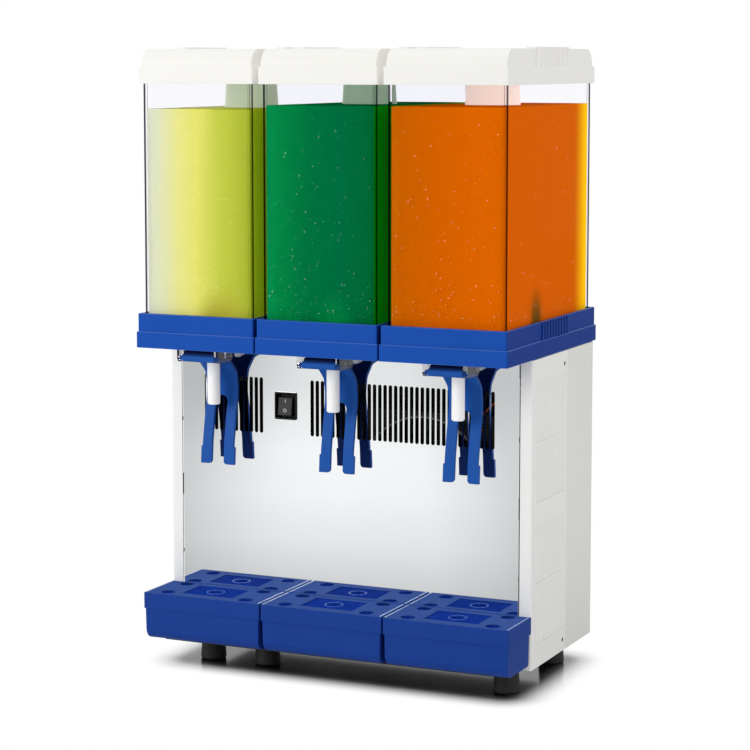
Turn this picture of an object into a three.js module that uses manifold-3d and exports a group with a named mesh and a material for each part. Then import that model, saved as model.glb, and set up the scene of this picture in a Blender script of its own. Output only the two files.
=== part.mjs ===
// Refrigerated drink dispenser: three clear tanks on one cooled cabinet with a mirror-polished front.
// Millimetres. X points right, Y points back and Z points up.
// The origin lies on the floor, under the middle of the collars that hold the tanks.
import * as THREE from 'three';
import { mergeVertices } from 'three/addons/utils/BufferGeometryUtils.js';
import Module from 'manifold-3d';

const wasm = await Module();
wasm.setup();

// Driving dimensions: the modules and the cabinet
const moduleCount = 3;
const tankSpacing = 13;
const cabinetInset = 2;
const footHeight = 34;
const sheet = 1.2;
const frontOverhang = 78.5;
const rearOverhang = 8.1;

// Driving dimensions: the collars that stand on the cabinet
const collarMargin = 8.7;
const collarBottom = 378;
const skirtHeight = 18;
const collarHeight = 38.6;
const collarStep = 1.6;
const collarGap = 1.4;
const collarWall = 2.2;
const collarFloor = 2.5;
const collarSeat = 8;

// Driving dimensions: the tanks and their lids
const tankWidth = 137;
const tankDepth = 266.6;
const tankHeight = 302.8;
const tankWall = 4;
const lidHeight = 38.6;
const lidSkirtHeight = 19.2;
const lidGap = 6.6;
const lidStep = 2.5;
const lidWall = 2;
const lidDepth = 271.5;
const lidRound = 17;

// Driving dimensions: the cooling tower in each tank
const evaporatorRadius = 46.5;
const evaporatorHeight = 61;
const columnTopRadius = 28.5;
const columnDrop = 8;
const columnWall = 2.2;

// Driving dimensions: the taps
const tapStandoff = 33;
const spoutFromHinge = 34;
const hingeDrop = 10;
const spoutRadius = 7.25;
const spoutDrop = 56;
const leverGap = 10;
const leverDrop = 126;
const leverThickness = 4.3;

// Driving dimensions: the drip trays
const trayRise = 6;
const trayHeight = 55;
const trayDepth = 67.7;
const trayGap = 2;
const gridBand = 19;
const trayWall = 2.2;

// How finely round pieces are faceted: the cooling tower, larger rounds and small rounds
const towerSegments = 16;
const roundSegments = 16;
const smallSegments = 12;
const ringSegments = 24;

// Shared clearances: what a seat leaves, what a running fit leaves and how far a cut runs past its face
const seatGap = 0.3;
const runningGap = 0.3;
const overrun = 1;

// Places that several pieces share
const modulePitch = tankWidth + tankSpacing;
const collarDepth = tankDepth + 2 * collarMargin;
const cabinetWidth = moduleCount * modulePitch - cabinetInset;
const mirrorY = frontOverhang - collarDepth / 2;
const cabinetBackY = collarDepth / 2 - rearOverhang;
const deckTop = collarBottom + collarSeat;
const collarWidth = modulePitch - collarGap;
const bandWidth = collarWidth - 2 * collarStep;
const bandDepth = collarDepth - 2 * collarStep;
const collarTop = collarBottom + collarHeight;
const tankBottom = deckTop + collarFloor;
const tankFloorTop = tankBottom + tankWall;
const lidWidth = modulePitch - lidGap;
const tankTop = tankBottom + tankHeight;
const lidStepTop = tankTop + seatGap + lidWall;
const lidBottom = lidStepTop - lidSkirtHeight;
const lidTop = lidBottom + lidHeight;
const tapY = mirrorY - tapStandoff;
const hingeY = tapY - spoutFromHinge;
const hingeZ = collarBottom - hingeDrop;
const leverReach = mirrorY - leverGap - hingeY;
const trayBottom = footHeight + trayRise;
const trayTop = trayBottom + trayHeight;
const moduleCentres = Array.from({ length: moduleCount }, (_, i) => (i - (moduleCount - 1) / 2) * modulePitch);

// Finishes
function finish(color, roughness, metalness, opacity = 1) {
  const material = new THREE.MeshStandardMaterial({ color, roughness, metalness });
  material.opacity = opacity;
  material.transparent = opacity < 1;
  return material;
}
const blueMoulding = () => finish('#2a5cb4', 0.35, 0);
const whiteMoulding = () => finish('#f4f3ef', 0.35, 0);
const clearMoulding = () => finish('#eef4f4', 0.05, 0, 0.3);
const milkyMoulding = () => finish('#c9cbc4', 0.4, 0, 0.7);
const whitePaint = () => finish('#e9e8e4', 0.4, 0);
const mirrorSteel = () => finish('#d5dade', 0.06, 1);
const plainSteel = () => finish('#b9bdbf', 0.3, 1);
const blackMoulding = () => finish('#141414', 0.45, 0);
const blackRubber = () => finish('#1b1b1c', 0.8, 0);
const blackPaint = () => finish('#1d1e20', 0.5, 0.2);
const blackFins = () => finish('#2b2d2f', 0.5, 0.6);

// Solids from three.js geometry: shared corners are merged and collapsed triangles are dropped
function solid(geometry) {
  geometry.deleteAttribute('normal');
  geometry.deleteAttribute('uv');
  const merged = mergeVertices(geometry);
  const corners = Float32Array.from(merged.attributes.position.array);
  const index = Array.from(merged.index.array);
  const triangles = [];
  for (let i = 0; i < index.length; i += 3) {
    const [a, b, c] = index.slice(i, i + 3);
    if (a !== b && b !== c && c !== a) triangles.push(a, b, c);
  }
  let volume = 0;
  const point = (i) => new THREE.Vector3().fromArray(corners, 3 * i);
  for (let i = 0; i < triangles.length; i += 3) {
    volume += point(triangles[i]).dot(point(triangles[i + 1]).cross(point(triangles[i + 2])));
  }
  if (volume < 0) triangles.reverse();
  const mesh = new wasm.Mesh({
    numProp: 3,
    vertProperties: corners,
    triVerts: Uint32Array.from(triangles),
  });
  mesh.merge();
  return new wasm.Manifold(mesh);
}

const join = (first, ...others) => others.reduce((sum, other) => sum.add(other), first);
const cut = (first, ...tools) => tools.reduce((rest, tool) => rest.subtract(tool), first);

// A box between two corners
function box([x0, x1], [y0, y1], [z0, z1]) {
  const geometry = new THREE.BoxGeometry(x1 - x0, y1 - y0, z1 - z0);
  geometry.translate((x0 + x1) / 2, (y0 + y1) / 2, (z0 + z1) / 2);
  return solid(geometry);
}
const span = (width, centre = 0) => [centre - width / 2, centre + width / 2];

// An outline drawn across an axis and drawn out along it: (y, z) along x, (x, z) along y, (x, y) along z
function prism(outline, axis, [from, to]) {
  const shape = new THREE.Shape(outline.map(([a, b]) => new THREE.Vector2(a, b)));
  const geometry = new THREE.ExtrudeGeometry(shape, { depth: to - from, bevelEnabled: false, steps: 1 });
  const x = new THREE.Vector3(1, 0, 0);
  const y = new THREE.Vector3(0, 1, 0);
  const z = new THREE.Vector3(0, 0, 1);
  const turn = new THREE.Matrix4();
  if (axis === 'x') turn.makeBasis(y, z, x).setPosition(from, 0, 0);
  if (axis === 'y') turn.makeBasis(x, z, y.clone().negate()).setPosition(0, to, 0);
  if (axis === 'z') turn.makeBasis(x, y, z).setPosition(0, 0, from);
  geometry.applyMatrix4(turn);
  return solid(geometry);
}

// A rectangle's outline; radii gives the rounding of its corners, counter-clockwise from the lowest
function rectangle([a0, a1], [b0, b1], radii = [0, 0, 0, 0], segments = 4) {
  const corners = [[a0, b0, 1, 1], [a1, b0, -1, 1], [a1, b1, -1, -1], [a0, b1, 1, -1]];
  return corners.flatMap(([a, b, inA, inB], corner) => {
    const radius = radii[corner];
    if (radius <= 0) return [[a, b]];
    const start = Math.PI * (1 + corner / 2);
    return Array.from({ length: segments + 1 }, (_, i) => {
      const angle = start + (Math.PI / 2) * (i / segments);
      return [a + inA * radius + radius * Math.cos(angle), b + inB * radius + radius * Math.sin(angle)];
    });
  });
}

// A round bar along an axis, centred on the two other coordinates
function bar(radius, axis, [from, to], [a, b], segments = smallSegments) {
  const geometry = new THREE.CylinderGeometry(radius, radius, to - from, segments);
  const middle = (from + to) / 2;
  if (axis === 'x') geometry.rotateZ(-Math.PI / 2).translate(middle, a, b);
  if (axis === 'y') geometry.translate(a, middle, b);
  if (axis === 'z') geometry.rotateX(Math.PI / 2).translate(a, b, middle);
  return solid(geometry);
}

// A profile of [radius, height] points turned about the vertical line through (x, y)
function turned(profile, [x, y], segments = smallSegments) {
  const points = profile.map(([radius, height]) => new THREE.Vector2(radius, height));
  const geometry = new THREE.LatheGeometry(points, segments);
  geometry.rotateX(Math.PI / 2).translate(x, y, 0);
  return solid(geometry);
}

// A strip of even thickness that lies behind a line of points
function strip(face, thickness) {
  const back = face.map((point, i) => {
    const before = face[Math.max(i - 1, 0)];
    const after = face[Math.min(i + 1, face.length - 1)];
    const along = new THREE.Vector2(after[0] - before[0], after[1] - before[1]).normalize();
    return [point[0] - along.y * thickness, point[1] + along.x * thickness];
  });
  return [...face, ...back.reverse()];
}

// A rib pad on a side wall: flat-topped ribs run up it, side by side. side is -1 or 1.
function ribPad(side, rootX, faceX, width, [z0, z1], ribCount, grooveDepth) {
  const grooveShare = 0.4;
  const pitch = width / ribCount;
  const outline = [[side * rootX, width / 2], [side * rootX, -width / 2]];
  for (let i = 0; i < ribCount; i += 1) {
    const start = i * pitch - width / 2;
    const ribEnd = i === ribCount - 1 ? start + pitch : start + pitch * (1 - grooveShare);
    outline.push([side * faceX, start], [side * faceX, ribEnd]);
    if (i < ribCount - 1) {
      outline.push([side * (faceX - grooveDepth), ribEnd], [side * (faceX - grooveDepth), start + pitch]);
    }
  }
  return prism(outline, 'z', [z0, z1]);
}

const dispenser = new THREE.Group();

// Hangs a named piece in a group
function piece(name, body, material, group = dispenser) {
  const mesh = body.getMesh();
  const geometry = new THREE.BufferGeometry();
  geometry.setAttribute('position', new THREE.BufferAttribute(mesh.vertProperties, mesh.numProp));
  geometry.setIndex(new THREE.BufferAttribute(mesh.triVerts, 1));
  geometry.computeVertexNormals();
  const part = new THREE.Mesh(geometry, material);
  part.name = name;
  group.add(part);
  return part;
}

// Cabinet: sheet-metal shells round the cooling unit
const flangeWidth = 14.5;
const bendRadius = 3;
const panelGap = 0.7;
const sideJointShare = 0.555;
const panelTop = collarBottom - panelGap;
const cabinetHalf = cabinetWidth / 2;
const sideJointY = mirrorY + sideJointShare * (cabinetBackY - mirrorY);
const insideHalf = cabinetHalf - sheet - runningGap;
const insideY = [mirrorY + sheet + seatGap, cabinetBackY - sheet - seatGap];
const deckSlab = 5;
const deckBottom = deckTop - collarSeat - overrun - deckSlab;
const deckLedge = 18;

// What lies inside the shells has corners as round as their bends
const insideOutline = rectangle(span(2 * insideHalf), insideY, Array(4).fill(bendRadius), 3);

// Base plate: the pan that carries the cooling unit, with a raised ledge in front for the drip trays
const ledgeInset = 19;
const ledgeDepth = 52;
const panThickness = 2;
const basePlateTop = footHeight + panThickness;
function basePlate() {
  const ledgeWidth = cabinetWidth - 2 * ledgeInset;
  const ledgeBackY = mirrorY + 2 * sheet + panThickness;
  const ledgeFrontY = mirrorY - ledgeDepth;
  const pan = prism(insideOutline, 'z', [footHeight, basePlateTop]);
  const ledge = box(span(ledgeWidth), [ledgeFrontY, ledgeBackY], [trayBottom - panThickness, trayBottom]);
  const riser = box(span(ledgeWidth), [ledgeBackY - panThickness, ledgeBackY], [footHeight, trayBottom]);
  return join(pan, ledge, riser);
}
piece('base_plate', basePlate(), blackPaint());

// Feet: turned rubber, wider at the floor; the fifth stands under the compressor's corner
const footTopRadius = 13;
const footRadius = 15;
const footInset = 39;
const footSetback = 27;
const footFrontY = mirrorY + footSetback;
const footRearY = cabinetBackY - footSetback;
const innerFootInset = 110;
const innerFootX = innerFootInset - cabinetHalf;
const footChamfer = 2;
const foot = turned([[0, 0], [footRadius - footChamfer, 0], [footRadius, footChamfer],
  [footTopRadius, footHeight], [0, footHeight]], [0, 0], roundSegments);
const footPlaces = {
  foot_front_left: [footInset - cabinetHalf, footFrontY],
  foot_front_right: [cabinetHalf - footInset, footFrontY],
  foot_rear_left: [footInset - cabinetHalf, footRearY],
  foot_rear_right: [cabinetHalf - footInset, footRearY],
  foot_front_inner: [innerFootX, footFrontY],
};
for (const [name, [x, y]] of Object.entries(footPlaces)) {
  piece(name, foot, blackRubber()).position.set(x, y, 0);
}

// Mirror panel: polished sheet with a row of upright slots and the switch's cut-out
const mirrorHalf = cabinetHalf - flangeWidth - seatGap;
const mirrorBottom = trayBottom + seatGap;
const slotPitch = 6.45;
const slotWidth = 3.7;
const slotDrop = 36.3;
const slotLength = 64;
const slotMargin = 28;
const slotTop = panelTop - slotDrop;
const slotBottom = slotTop - slotLength;
const slotsEachSide = Math.floor((mirrorHalf - slotMargin) / slotPitch);
const switchX = -modulePitch / 2;
const switchDrop = 67.3;
const switchZ = panelTop - switchDrop;
const switchWidth = 27.4;
const switchHeight = 31.4;
const switchLip = 1.8;
const switchMargin = 6.5;
function mirrorPanel() {
  const panel = box(span(2 * mirrorHalf), [mirrorY, mirrorY + sheet], [mirrorBottom, panelTop]);
  const tools = [];
  const end = slotWidth / 2;
  const reach = [mirrorY - overrun, mirrorY + sheet + overrun];
  for (let i = -slotsEachSide; i < slotsEachSide; i += 1) {
    const x = (i + 0.5) * slotPitch;
    if (Math.abs(x - switchX) < switchWidth / 2 + switchMargin * 2) continue;
    tools.push(prism(rectangle(span(slotWidth, x), [slotBottom, slotTop], Array(4).fill(end), 2), 'y', reach));
  }
  tools.push(box(span(switchWidth - 2 * switchLip, switchX), reach, span(switchHeight - 2 * switchLip, switchZ)));
  return cut(panel, ...tools);
}
piece('mirror_front_panel', mirrorPanel(), mirrorSteel());

// Side panels: one bent sheet each, with four blocks of upright louvres pressed inwards
const louvreCount = 8;
const louvreFrontMargin = 13.5;
const louvreRearMargin = 6.5;
const louvreRib = 2.5;
const louvreDepth = 3.5;
const louvreBlockShares = [[0.076, 0.262], [0.274, 0.463], [0.536, 0.719], [0.731, 0.926]];
const louvreBlocks = louvreBlockShares.map((block) => block.map((share) => (
  footHeight + share * (panelTop - footHeight))));
const louvreSpan = sideJointY - mirrorY - louvreFrontMargin - louvreRearMargin;
const louvrePitch = (louvreSpan + louvreRib) / louvreCount;
function sidePanel(side) {
  const x = (value) => side * value;
  const outerX = cabinetHalf;
  const flangeX = cabinetHalf - flangeWidth;
  const inner = bendRadius - sheet;
  const bend = (radius) => Array.from({ length: 4 }, (_, i) => {
    const angle = (Math.PI / 2) * (i / 3);
    return [x(outerX - bendRadius + radius * Math.sin(angle)), mirrorY + bendRadius - radius * Math.cos(angle)];
  });
  const outline = [[x(flangeX), mirrorY], ...bend(bendRadius), [x(outerX), sideJointY],
    [x(outerX - sheet), sideJointY], ...bend(inner).reverse(), [x(flangeX), mirrorY + sheet]];
  const wall = prism(outline, 'z', [footHeight, panelTop]);
  const ledge = box([outerX - deckLedge, outerX - sheet / 2].map(x).sort((a, b) => a - b),
    [mirrorY + bendRadius, sideJointY], [deckBottom - sheet, deckBottom]);
  const slots = [];
  const blades = [];
  for (const block of louvreBlocks) {
    for (let i = 0; i < louvreCount; i += 1) {
      const front = mirrorY + louvreFrontMargin + i * louvrePitch;
      const back = front + louvrePitch - louvreRib;
      slots.push(box([outerX - sheet - overrun, outerX + overrun].map(x).sort((a, b) => a - b),
        [front, back], block));
      blades.push(prism([[x(outerX), back], [x(outerX - sheet), back], [x(outerX - sheet - louvreDepth), front],
        [x(outerX - louvreDepth), front]], 'z', block));
    }
  }
  return join(cut(join(wall, ledge), ...slots), ...blades);
}
piece('left_side_panel', sidePanel(-1), whitePaint());
piece('right_side_panel', sidePanel(1), whitePaint());

// Rear cover: wraps round the back, with the condenser's grille, the mains inlet and the thermostat's hole
const inletInset = 74;
const inletRise = 41;
const inletX = inletInset - cabinetHalf;
const inletZ = footHeight + inletRise;
const inletWidth = 48;
const inletHeight = 28;
const inletLip = 3;
const inletProud = 2;
const knobInset = 74;
const knobDrop = 57.3;
const knobX = cabinetHalf - knobInset;
const knobZ = panelTop - knobDrop;
const knobStem = 3;
const fanInset = 139;
const fanX = cabinetHalf - fanInset;
const grilleWidth = 130;
const grilleSlots = 12;
const grillePitch = 16;
const grilleSlot = 6;
const grilleRise = 36;
function rearCover() {
  const frontY = sideJointY + seatGap;
  const outer = rectangle(span(cabinetWidth), [frontY, cabinetBackY], [0, 0, bendRadius, bendRadius], 3);
  const shell = prism(outer, 'z', [footHeight, panelTop]);
  const inner = bendRadius - sheet;
  const hollow = prism(rectangle(span(cabinetWidth - 2 * sheet), [frontY - overrun, cabinetBackY - sheet],
    [0, 0, inner, inner], 3), 'z', [footHeight - overrun, panelTop + overrun]);
  const through = [cabinetBackY - sheet - overrun, cabinetBackY + overrun];
  const slots = Array.from({ length: grilleSlots }, (_, i) => box(span(grilleWidth, fanX), through,
    span(grilleSlot, footHeight + grilleRise + i * grillePitch)));
  const inlet = box(span(inletWidth - 2 * inletLip, inletX), through, span(inletHeight - 2 * inletLip, inletZ));
  const knobHole = bar(knobStem + 1.5 * sheet, 'y', through, [knobX, knobZ]);
  return cut(shell, hollow, ...slots, inlet, knobHole);
}
piece('rear_cover', rearCover(), whitePaint());

// Top deck: an insulated slab with one raised pad for each collar and a hole for each stirrer motor
const padSetback = collarWall + seatGap;
const motorNeckRadius = 22;
function topDeck() {
  const slab = prism(insideOutline, 'z', [deckBottom, deckBottom + deckSlab]);
  const pads = moduleCentres.map((x) => box(span(collarWidth - 2 * padSetback - bendRadius, x), insideY,
    [deckBottom, deckTop]));
  const holes = moduleCentres.map((x) => bar(motorNeckRadius + 2 * runningGap, 'z',
    [deckBottom - overrun, deckTop + overrun], [x, 0], roundSegments));
  return cut(join(slab, ...pads), ...holes);
}
piece('top_deck', topDeck(), whiteMoulding());

// Compressor: a sealed steel pot on a foot plate, left of the fan
const compressorInset = 99;
const compressorX = compressorInset - cabinetHalf;
const compressorY = (mirrorY + cabinetBackY) / 2;
const compressorClearance = 40.7;
const compressorRadius = (cabinetBackY - mirrorY) / 2 - compressorClearance;
const compressorHeight = 160;
const compressorDome = 34;
const compressorFoot = 4;
const compressorToe = 10;
const compressorPlateWidth = 2 * compressorRadius + 2 * compressorToe;
const compressorPlateDepth = 2 * compressorRadius - 2 * compressorToe;
function compressor() {
  const z0 = basePlateTop + compressorFoot / 2;
  const z1 = basePlateTop + compressorHeight;
  const profile = [[0, z0]];
  const steps = 3;
  for (let i = 0; i <= steps; i += 1) {
    const angle = (Math.PI / 2) * (i / steps);
    profile.push([compressorRadius - compressorDome / 2 * (1 - Math.sin(angle)),
      z0 + compressorDome * (1 - Math.cos(angle))]);
  }
  for (let i = 0; i <= steps; i += 1) {
    const angle = (Math.PI / 2) * (i / steps);
    profile.push([compressorRadius * Math.cos(angle), z1 - compressorDome + compressorDome * Math.sin(angle)]);
  }
  const plate = box(span(compressorPlateWidth, compressorX), span(compressorPlateDepth, compressorY),
    [basePlateTop, basePlateTop + compressorFoot]);
  return join(turned(profile, [compressorX, compressorY], roundSegments), plate);
}
piece('compressor', compressor(), blackPaint());

// Fan shroud: an upright plate with a ring round the blades and three arms that hold the motor
const fanGap = 23;
const ringRadius = 75;
const ringWall = 2;
const ringDepth = 22;
const shroudDepthShare = 0.2204;
const shroudY = mirrorY + shroudDepthShare * (cabinetBackY - mirrorY);
const shroudPlate = 2;
const shroudMargin = 4;
const stirrerDrop = 42;
const fanZ = deckBottom - stirrerDrop - fanGap - ringRadius - shroudMargin;
const motorRadius = 22;
const armWidth = 10;
const armDepth = 8;
function fanShroud() {
  const plateY = [shroudY, shroudY + shroudPlate];
  const half = ringRadius + shroudMargin;
  const plate = box(span(2 * half, fanX), plateY, [basePlateTop, fanZ + half]);
  const ringY = [shroudY - ringDepth, plateY[1]];
  const ring = bar(ringRadius + ringWall, 'y', ringY, [fanX, fanZ], ringSegments);
  const bore = bar(ringRadius, 'y', [ringY[0] - overrun, ringY[1] + overrun], [fanX, fanZ], ringSegments);
  const armY = [shroudY + shroudPlate, shroudY + shroudPlate + armDepth];
  const across = box(span(2 * half, fanX), armY, span(armWidth, fanZ));
  const down = box(span(armWidth, fanX), armY, [fanZ - half, fanZ]);
  const hub = bar(motorRadius + runningGap + ringWall, 'y', armY, [fanX, fanZ], roundSegments);
  const seat = bar(motorRadius + runningGap, 'y', [armY[0] - overrun, armY[1] + overrun], [fanX, fanZ], roundSegments);
  return join(cut(join(plate, ring), bore), cut(join(across, down, hub), seat));
}
piece('fan_shroud', fanShroud(), blackMoulding());

// Fan motor and its blades: the blades run on the motor's shaft, inside the ring
const motorDepth = 30;
const shaftRadius = 3;
const bladeCount = 5;
const bladeDepth = 12;
const bladeGap = 3;
const hubRadius = 16;
const bladePlate = 1.6;
const bladeSweepDegrees = 35;
const bladePitchDegrees = 28;
const hubBackY = shroudY - bladeGap;
function fanMotor() {
  const front = shroudY + shroudPlate;
  const body = bar(motorRadius, 'y', [front, front + motorDepth], [fanX, fanZ], roundSegments);
  const shaft = bar(shaftRadius, 'y', [hubBackY - bladeDepth - bladeGap, front + overrun], [fanX, fanZ]);
  return join(body, shaft);
}
function fanBlades() {
  const hub = bar(hubRadius, 'y', [-bladeDepth / 2, bladeDepth / 2], [0, 0], roundSegments);
  const tip = ringRadius - bladeGap;
  const root = hubRadius - 2 * bladePlate;
  const half = THREE.MathUtils.degToRad(bladeSweepDegrees) / 2;
  const blades = Array.from({ length: bladeCount }, (_, i) => {
    const outline = [[root, -hubRadius / 2], [tip * Math.cos(half), -tip * Math.sin(half)], [tip, 0],
      [tip * Math.cos(half), tip * Math.sin(half)], [root, hubRadius / 2]];
    const shape = new THREE.Shape(outline.map(([a, b]) => new THREE.Vector2(a, b)));
    const geometry = new THREE.ExtrudeGeometry(shape, { depth: bladePlate, bevelEnabled: false });
    geometry.translate(0, 0, -bladePlate / 2);
    geometry.rotateX(THREE.MathUtils.degToRad(bladePitchDegrees));
    geometry.rotateX(Math.PI / 2);
    geometry.rotateY((2 * Math.PI * i) / bladeCount);
    return solid(geometry);
  });
  const reach = bladeDepth + overrun;
  return cut(join(hub, ...blades), bar(shaftRadius + runningGap / 3, 'y', [-reach, reach], [0, 0]));
}
piece('fan_motor', fanMotor(), blackPaint());
piece('fan_blades', fanBlades(), blackMoulding()).position.set(fanX, hubBackY - bladeDepth / 2, fanZ);

// Condenser: a block of upright fins behind the fan
const finCount = 12;
const finShare = 0.45;
const condenserDepthShares = [0.484, 0.6965];
const condenserY = condenserDepthShares.map((share) => mirrorY + share * (cabinetBackY - mirrorY));
const condenserCore = 12;
function condenser() {
  const width = 2 * (ringRadius + shroudMargin);
  const pitch = width / (finCount - 1 + finShare);
  const fin = pitch * finShare;
  const [y0, y1] = condenserY;
  const coreY = [(y0 + y1 - condenserCore) / 2, (y0 + y1 + condenserCore) / 2];
  const x0 = fanX - width / 2;
  const outline = [];
  for (let i = 0; i < finCount; i += 1) {
    const x = x0 + i * pitch;
    outline.push([x, y0], [x + fin, y0]);
    if (i < finCount - 1) outline.push([x + fin, coreY[0]], [x + pitch, coreY[0]]);
  }
  for (let i = finCount - 1; i >= 0; i -= 1) {
    const x = x0 + i * pitch;
    outline.push([x + fin, y1], [x, y1]);
    if (i > 0) outline.push([x, coreY[1]], [x - pitch + fin, coreY[1]]);
  }
  return prism(outline, 'z', [basePlateTop, fanZ + ringRadius]);
}
piece('condenser', condenser(), blackFins());

// Mains inlet: a recessed socket in the rear cover, with three contact blades
const inletDepth = 22;
const inletWall = 2;
const contactWidth = 4;
const contactThick = 2;
const contactPitch = 14;
const contactLength = 14;
function mainsInlet() {
  const face = box(span(inletWidth, inletX), [cabinetBackY + seatGap, cabinetBackY + seatGap + inletProud],
    span(inletHeight, inletZ));
  const bodyWidth = inletWidth - 2 * inletLip - 2 * runningGap;
  const bodyHeight = inletHeight - 2 * inletLip - 2 * runningGap;
  const body = box(span(bodyWidth, inletX), [cabinetBackY - inletDepth, cabinetBackY + inletProud],
    span(bodyHeight, inletZ));
  const pocket = box(span(bodyWidth - 2 * inletWall, inletX),
    [cabinetBackY - inletDepth + inletWall, cabinetBackY + inletProud + overrun],
    span(bodyHeight - 2 * inletWall, inletZ));
  const contacts = [-1, 0, 1].map((i) => box(span(contactThick, inletX + i * contactPitch),
    [cabinetBackY - inletDepth, cabinetBackY - inletDepth + inletWall + contactLength], span(contactWidth, inletZ)));
  return join(cut(join(face, body), pocket), ...contacts);
}
piece('power_inlet', mainsInlet(), blackMoulding());

// Thermostat: a small box behind the rear cover, set by a knob outside
const thermostatWidth = 36;
const thermostatHeight = 44;
const thermostatDepth = 26;
const knobRadius = 15;
const knobDepth = 6.6;
const knobRib = 3;
function thermostat() {
  const back = cabinetBackY - sheet - seatGap;
  const body = box(span(thermostatWidth, knobX), [back - thermostatDepth, back], span(thermostatHeight, knobZ));
  const stem = bar(knobStem, 'y', [back - overrun, cabinetBackY + knobDepth / 2], [knobX, knobZ]);
  return join(body, stem);
}
function thermostatKnob() {
  const y0 = cabinetBackY + seatGap;
  const skirt = bar(knobRadius, 'y', [y0, y0 + knobDepth / 2], [knobX, knobZ], roundSegments);
  const grip = box(span(2 * knobRib, knobX), [y0 + knobDepth / 3, y0 + knobDepth], span(1.6 * knobRadius, knobZ));
  const bore = bar(knobStem + runningGap / 3, 'y', [y0 - overrun, cabinetBackY + knobDepth / 2 + runningGap],
    [knobX, knobZ]);
  return cut(join(skirt, grip), bore);
}
piece('thermostat', thermostat(), blackMoulding());
piece('thermostat_knob', thermostatKnob(), blackMoulding());

// Mains switch: a black bezel in the mirror panel, between the first two taps, and its rocker
const bezelProud = 2;
const bezelDepth = 20;
const pocketWidth = 17;
const pocketHeight = 24;
const pocketDepth = 13;
const rockerPin = 1.2;
const rockerTiltDegrees = 8;
const rockerDepth = 9;
const rockerProud = 1.5;
const rockerPeak = 3.4;
const rockerSetback = 3;
const rockerAxisY = mirrorY + rockerSetback;
function switchBezel() {
  const frame = box(span(switchWidth, switchX), [mirrorY - bezelProud, mirrorY - runningGap / 10],
    span(switchHeight, switchZ));
  const inset = 2 * (switchLip + runningGap);
  const body = box(span(switchWidth - inset, switchX), [mirrorY - bezelProud / 2, mirrorY + bezelDepth],
    span(switchHeight - inset, switchZ));
  const pocket = box(span(pocketWidth, switchX), [mirrorY - bezelProud - overrun, mirrorY + pocketDepth],
    span(pocketHeight, switchZ));
  const pins = bar(rockerPin + runningGap, 'x', span(pocketWidth + 4 * rockerPin, switchX), [rockerAxisY, switchZ]);
  return cut(join(frame, body), pocket, pins);
}
function switchRocker() {
  const half = pocketHeight / 2 - 4 * runningGap;
  const front = -rockerSetback - bezelProud - rockerProud;
  const outline = [[front, -half], [front, half], [rockerDepth / 3, half * 0.9], [rockerDepth * 0.6, 0],
    [rockerDepth / 3, -half * 0.9]];
  const dished = [[front - overrun, half + overrun], [front, half], [front + rockerPeak / 2, 0], [front, -half],
    [front - overrun, -half - overrun]];
  const width = pocketWidth - 2 * runningGap;
  const body = cut(prism(outline, 'x', span(width)), prism(dished, 'x', span(width + 2 * overrun)));
  return join(body, bar(rockerPin, 'x', span(width + 2 * rockerPin), [0, 0]));
}
piece('switch_bezel', switchBezel(), blackMoulding());
const rocker = piece('switch_rocker', switchRocker(), blackMoulding());
rocker.position.set(switchX, rockerAxisY, switchZ);
rocker.rotation.x = THREE.MathUtils.degToRad(-rockerTiltDegrees);

// Collar: the blue moulding round each tank's foot. Its skirt hangs over the cabinet and its floor
// stands on the deck's pad; both have openings for the cooling tower and the tap.
const flangeReach = 7.5;
const flangeRadius = evaporatorRadius + flangeReach;
const earOuter = 26;
const earInner = 21;
const earDepth = 34;
const earRadius = 4;
const earReach = 4;
const earFrontY = hingeY - earReach;
const bossReach = 5.75;
const bossRadius = spoutRadius + bossReach;
const gripWidth = 100;
const gripRibs = 7;
const gripGroove = 0.8;
function collar() {
  const skirt = box(span(collarWidth), span(collarDepth), [collarBottom, collarBottom + skirtHeight]);
  const bandTopZ = [collarBottom + skirtHeight - overrun, collarTop];
  const band = box(span(bandWidth), span(bandDepth), bandTopZ);
  const pads = [-1, 1].map((side) => ribPad(side, bandWidth / 2 - overrun, collarWidth / 2, gripWidth, bandTopZ,
    gripRibs, gripGroove));
  const seat = box(span(tankWidth + 2 * seatGap), span(tankDepth + 2 * seatGap), [tankBottom, collarTop + overrun]);
  const under = box(span(collarWidth - 2 * collarWall), span(collarDepth - 2 * collarWall),
    [collarBottom - overrun, deckTop]);
  const tower = bar(flangeRadius + overrun, 'z', [deckTop - overrun, tankBottom + overrun], [0, 0], towerSegments);
  const tap = box(span(2 * (earOuter + runningGap)), [earFrontY - runningGap, tapY + bossRadius + runningGap],
    [deckTop - overrun, tankBottom + overrun]);
  return cut(join(skirt, band, ...pads), seat, under, tower, tap);
}

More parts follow.
